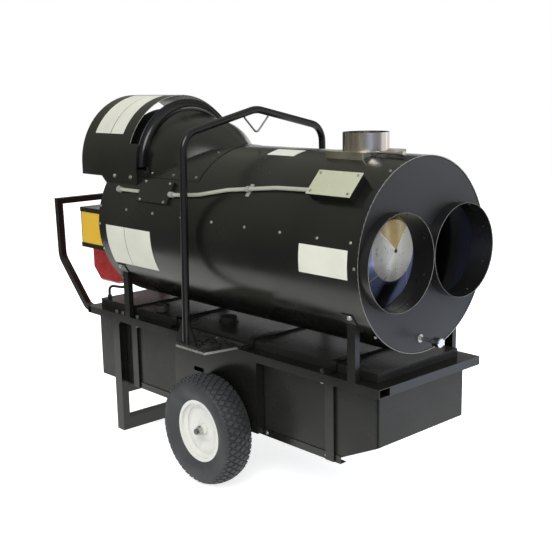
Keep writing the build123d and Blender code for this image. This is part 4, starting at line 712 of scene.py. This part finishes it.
for name, backs, angles in (
    ("barrel_label", (241, 41), (80.7, 97.0)),
    ("notice_label", (1172, 1010), (89, 118)),
    ("data_label", (1295, 1175), (89, 118)),
    ("top_label", (594, 465), (9, 20)),
):
    new_piece(name, skin_plate(name, backs, angles), "label_cream")
hood_label_angles = (8, 62.6)
for name, backs in (("hood_label_front", (1343, 1260)), ("hood_label_rear", (1450, 1347))):
    sheet = skin_plate(name, backs, hood_label_angles, centre_z=hood_z, radius=hood_radius, steps=40)
    new_piece(name, sheet, "label_cream")


# Yellow plate on the control box, between the folded lips of its cover


def slab(name, low, high):
    """Thin block between two corners."""
    corners = [(x, y, z) for x in (low.x, high.x) for y in (low.y, high.y) for z in (low.z, high.z)]
    faces = [(0, 1, 3, 2), (4, 5, 7, 6), (0, 1, 5, 4), (2, 3, 7, 6), (0, 2, 6, 4), (1, 3, 7, 5)]
    return mesh_from(name, corners, faces, smooth=False)


cover_low, cover_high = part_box("control_box_cover")
cover_inset = 6 * MM
lip_height = 17 * MM
plate_near, plate_far = 2.2 * MM, 2.95 * MM  # from the cover's outer face inwards
plate_low = cover_low + Vector((cover_inset, plate_near, lip_height))
plate_high = Vector((cover_high.x - cover_inset, cover_low.y + plate_far, cover_high.z - lip_height))
new_piece("control_plate", slab("control_plate", plate_low, plate_high), "yellow_paint")


# Duct behind the fan, under the hood, and a painted highlight along the hood's mouth

duct_radius = 205 * MM
duct_backs = (1316, 1209)
duct = skin_plate("fan_duct", duct_backs, (-104, 104), (0, 1.5), hood_z, duct_radius, 64)
new_piece("fan_duct", duct, "black_paint")
hood_mouth = 1197
edge_backs = (hood_mouth + 0.6, hood_mouth - 0.5)
# A thin light strip just inside the hood's mouth: a painted highlight
hood_edge = skin_plate("hood_edge", edge_backs, (-97, 97), (-1.9, -0.1), hood_z, hood_radius, 64)
new_piece("hood_edge", hood_edge, "painted_edge_highlight")


# Weld bead round the foot of the intake duct: distance back, then angle from the crown

bead_line = ((826, 0), (838, 9), (892, 17.1), (922, 25), (958, 32.8), (985, 40), (1017, 46.9), (1080, 49))
bead_size = 1.6 * MM
bead_lift = 2.2


def weld_bead(name, side):
    """One half of the bead, from the crown down one side."""
    curve = bpy.data.curves.new(name, "CURVE")
    curve.dimensions = "3D"
    curve.bevel_depth = bead_size
    curve.bevel_resolution = 2
    run = curve.splines.new("NURBS")
    run.points.add(len(bead_line) - 1)
    for point, (distance, angle) in zip(run.points, bead_line):
        point.co = (*on_skin(distance, side * angle, bead_lift), 1)
    run.order_u = 3
    run.use_endpoint_u = True
    holder = bpy.data.objects.new(name, curve)
    bpy.context.scene.collection.objects.link(holder)
    graph = bpy.context.evaluated_depsgraph_get()
    bead = bpy.data.meshes.new_from_object(holder.evaluated_get(graph))
    bpy.data.objects.remove(holder)
    bead.shade_smooth()
    new_piece(name, bead, "black_paint")


weld_bead("right_weld_bead", 1)
weld_bead("left_weld_bead", -1)


# Studio


def by_ray(tree, light, mirrored, seen):
    """A shader that lights the object, one that it mirrors and one that the camera sees."""
    rays = tree.nodes.new("ShaderNodeLightPath")
    result = light
    for kind, shader in (("Is Glossy Ray", mirrored), ("Is Camera Ray", seen)):
        either = tree.nodes.new("ShaderNodeMixShader")
        tree.links.new(rays.outputs[kind], either.inputs["Fac"])
        tree.links.new(result, either.inputs[1])
        tree.links.new(shader, either.inputs[2])
        result = either.outputs[0]
    return result


def hall(tree):
    """What the object mirrors: dark low down, cooler ahead, and a dim far side with a bright strip."""
    coordinates = tree.nodes.new("ShaderNodeTexCoord")
    split = tree.nodes.new("ShaderNodeSeparateXYZ")
    tree.links.new(coordinates.outputs["Generated"], split.inputs["Vector"])
    graded = tree.nodes.new("ShaderNodeValToRGB")
    stops = graded.color_ramp.elements
    stops[0].color = (0.19, 0.19, 0.155, 1)
    stops[1].color = (0.62, 0.62, 0.56, 1)
    stops.new(0.5).color = (0.31, 0.31, 0.26, 1)
    stops.new(0.8).color = (0.35, 0.35, 0.30, 1)
    tree.links.new(split.outputs["Z"], graded.inputs["Fac"])
    ahead = ramped(tree, split.outputs["X"], 0.35, 0.95)
    cooler = laid_over(tree, ahead, graded.outputs["Color"], (0.40, 0.43, 0.55))
    far = ramped(tree, split.outputs["Y"], 0.45, 0.62)
    shade = worked(tree, "MULTIPLY", far, ramped(tree, split.outputs["Z"], 0.55, 0.35))
    strip = worked(tree, "MULTIPLY", far, ramped(tree, split.outputs["Z"], 0.24, 0.14))
    shaded = laid_over(tree, shade, cooler, (0.07, 0.07, 0.075))
    return laid_over(tree, strip, shaded, (1.1, 1.1, 1.1))


def surroundings():
    """White behind the object, an even soft light on it, and a hall in its reflections."""
    world = bpy.data.worlds.new("studio")
    bpy.context.scene.world = world
    world.use_nodes = True
    tree = world.node_tree
    tree.nodes.clear()
    light, mirrored, seen = [tree.nodes.new("ShaderNodeBackground") for k in range(3)]
    light.inputs["Color"].default_value = (0.94, 0.96, 1.0, 1)
    light.inputs["Strength"].default_value = 0.80
    tree.links.new(hall(tree), mirrored.inputs["Color"])
    seen.inputs["Color"].default_value = (1, 1, 1, 1)
    output = tree.nodes.new("ShaderNodeOutputWorld")
    shader = by_ray(tree, light.outputs[0], mirrored.outputs[0], seen.outputs[0])
    tree.links.new(shader, output.inputs["Surface"])


def floor_finish():
    """Matt white that glows to the camera, and mirrors bright near the heater and dark further out."""
    paint = bpy.data.materials.new("floor_paint")
    paint.use_nodes = True
    tree = paint.node_tree
    tree.nodes.clear()
    place = tree.nodes.new("ShaderNodeSeparateXYZ")
    tree.links.new(own_space(tree), place.inputs["Vector"])
    ahead = ramped(tree, place.outputs["X"], 1.2, 1.9)
    ahead_strength = ramped(tree, place.outputs["X"], 2.2, 2.9, 1.7, 0.25)
    beside = worked(tree, "ABSOLUTE", place.outputs["Y"])
    beside_strength = ramped(tree, beside, 1.0, 1.3, 1.15, 0.14)
    near_part = worked(tree, "MULTIPLY", worked(tree, "SUBTRACT", 1, ahead), beside_strength)
    strength = worked(tree, "ADD", worked(tree, "MULTIPLY", ahead, ahead_strength), near_part)
    mirrored = tree.nodes.new("ShaderNodeEmission")
    colour = blend_colours(tree, ahead, (1.0, 1.0, 0.95), (0.78, 0.86, 1.0))
    tree.links.new(colour, mirrored.inputs["Color"])
    tree.links.new(strength, mirrored.inputs["Strength"])

    matt = tree.nodes.new("ShaderNodeBsdfDiffuse")
    matt.inputs["Color"].default_value = (0.9, 0.9, 0.9, 1)
    shine = tree.nodes.new("ShaderNodeEmission")
    shine.inputs["Strength"].default_value = 0.72
    seen = tree.nodes.new("ShaderNodeAddShader")
    tree.links.new(matt.outputs[0], seen.inputs[0])
    tree.links.new(shine.outputs[0], seen.inputs[1])
    output = tree.nodes.new("ShaderNodeOutputMaterial")
    shader = by_ray(tree, matt.outputs[0], mirrored.outputs[0], seen.outputs[0])
    tree.links.new(shader, output.inputs["Surface"])
    return paint


def floor():
    """Square of floor, a hair below the wheels."""
    reach, drop = 9, 0.6 * MM
    corners = [(-reach, -reach, 0), (reach, -reach, 0), (reach, reach, 0), (-reach, reach, 0)]
    ground = bpy.data.objects.new("floor", mesh_from("floor", corners, [(0, 1, 2, 3)], smooth=False))
    bpy.context.scene.collection.objects.link(ground)
    ground.location.z = -drop
    ground.data.materials.append(floor_finish())


def lamps():
    """Three soft round lights aimed at the heater; only the key shows in reflections."""
    middle = Vector((0, 0, 0.7))
    for name, place, size, power, colour in (
        ("key", (2.2, -2.6, 3.4), 2.4, 88, (1.0, 1.0, 0.98)),
        ("fill", (3.6, 1.6, 1.9), 2.6, 60, (0.86, 0.92, 1.0)),
        ("back", (-2.6, 1.2, 3.2), 2.2, 50, (1.0, 1.0, 1.0)),
    ):
        lamp = bpy.data.lights.new(name, "AREA")
        lamp.shape = "DISK"
        lamp.size = size
        lamp.energy = power
        lamp.color = colour
        light = bpy.data.objects.new(name, lamp)
        bpy.context.scene.collection.objects.link(light)
        light.location = place
        light.visible_glossy = name == "key"
        aim = middle - Vector(place)
        light.rotation_euler = aim.to_track_quat("-Z", "Y").to_euler()


def camera():
    """Camera that looks as the photograph does: place, azimuth, elevation and roll were solved from it."""
    place = (2.64615, -2.2612, 1.3751)
    azimuth, elevation, roll = radians(47.44), radians(11.53), radians(-1.04)
    behind = Vector((sin(azimuth) * cos(elevation), -cos(azimuth) * cos(elevation), sin(elevation)))
    level = Vector((cos(azimuth), sin(azimuth), 0))
    upright = behind.cross(level)
    right = level * cos(roll) + upright * sin(roll)
    up = upright * cos(roll) - level * sin(roll)
    eye = bpy.data.objects.new("camera", bpy.data.cameras.new("camera"))
    bpy.context.scene.collection.objects.link(eye)
    turn = Matrix((right, up, behind)).transposed()
    eye.matrix_world = Matrix.Translation(place) @ turn.to_4x4()
    eye.data.sensor_width = 36.0
    eye.data.lens = 61.97
    eye.data.clip_end = 60
    bpy.context.scene.camera = eye


surroundings()
floor()
lamps()
camera()
bpy.context.scene.view_settings.view_transform = "Standard"
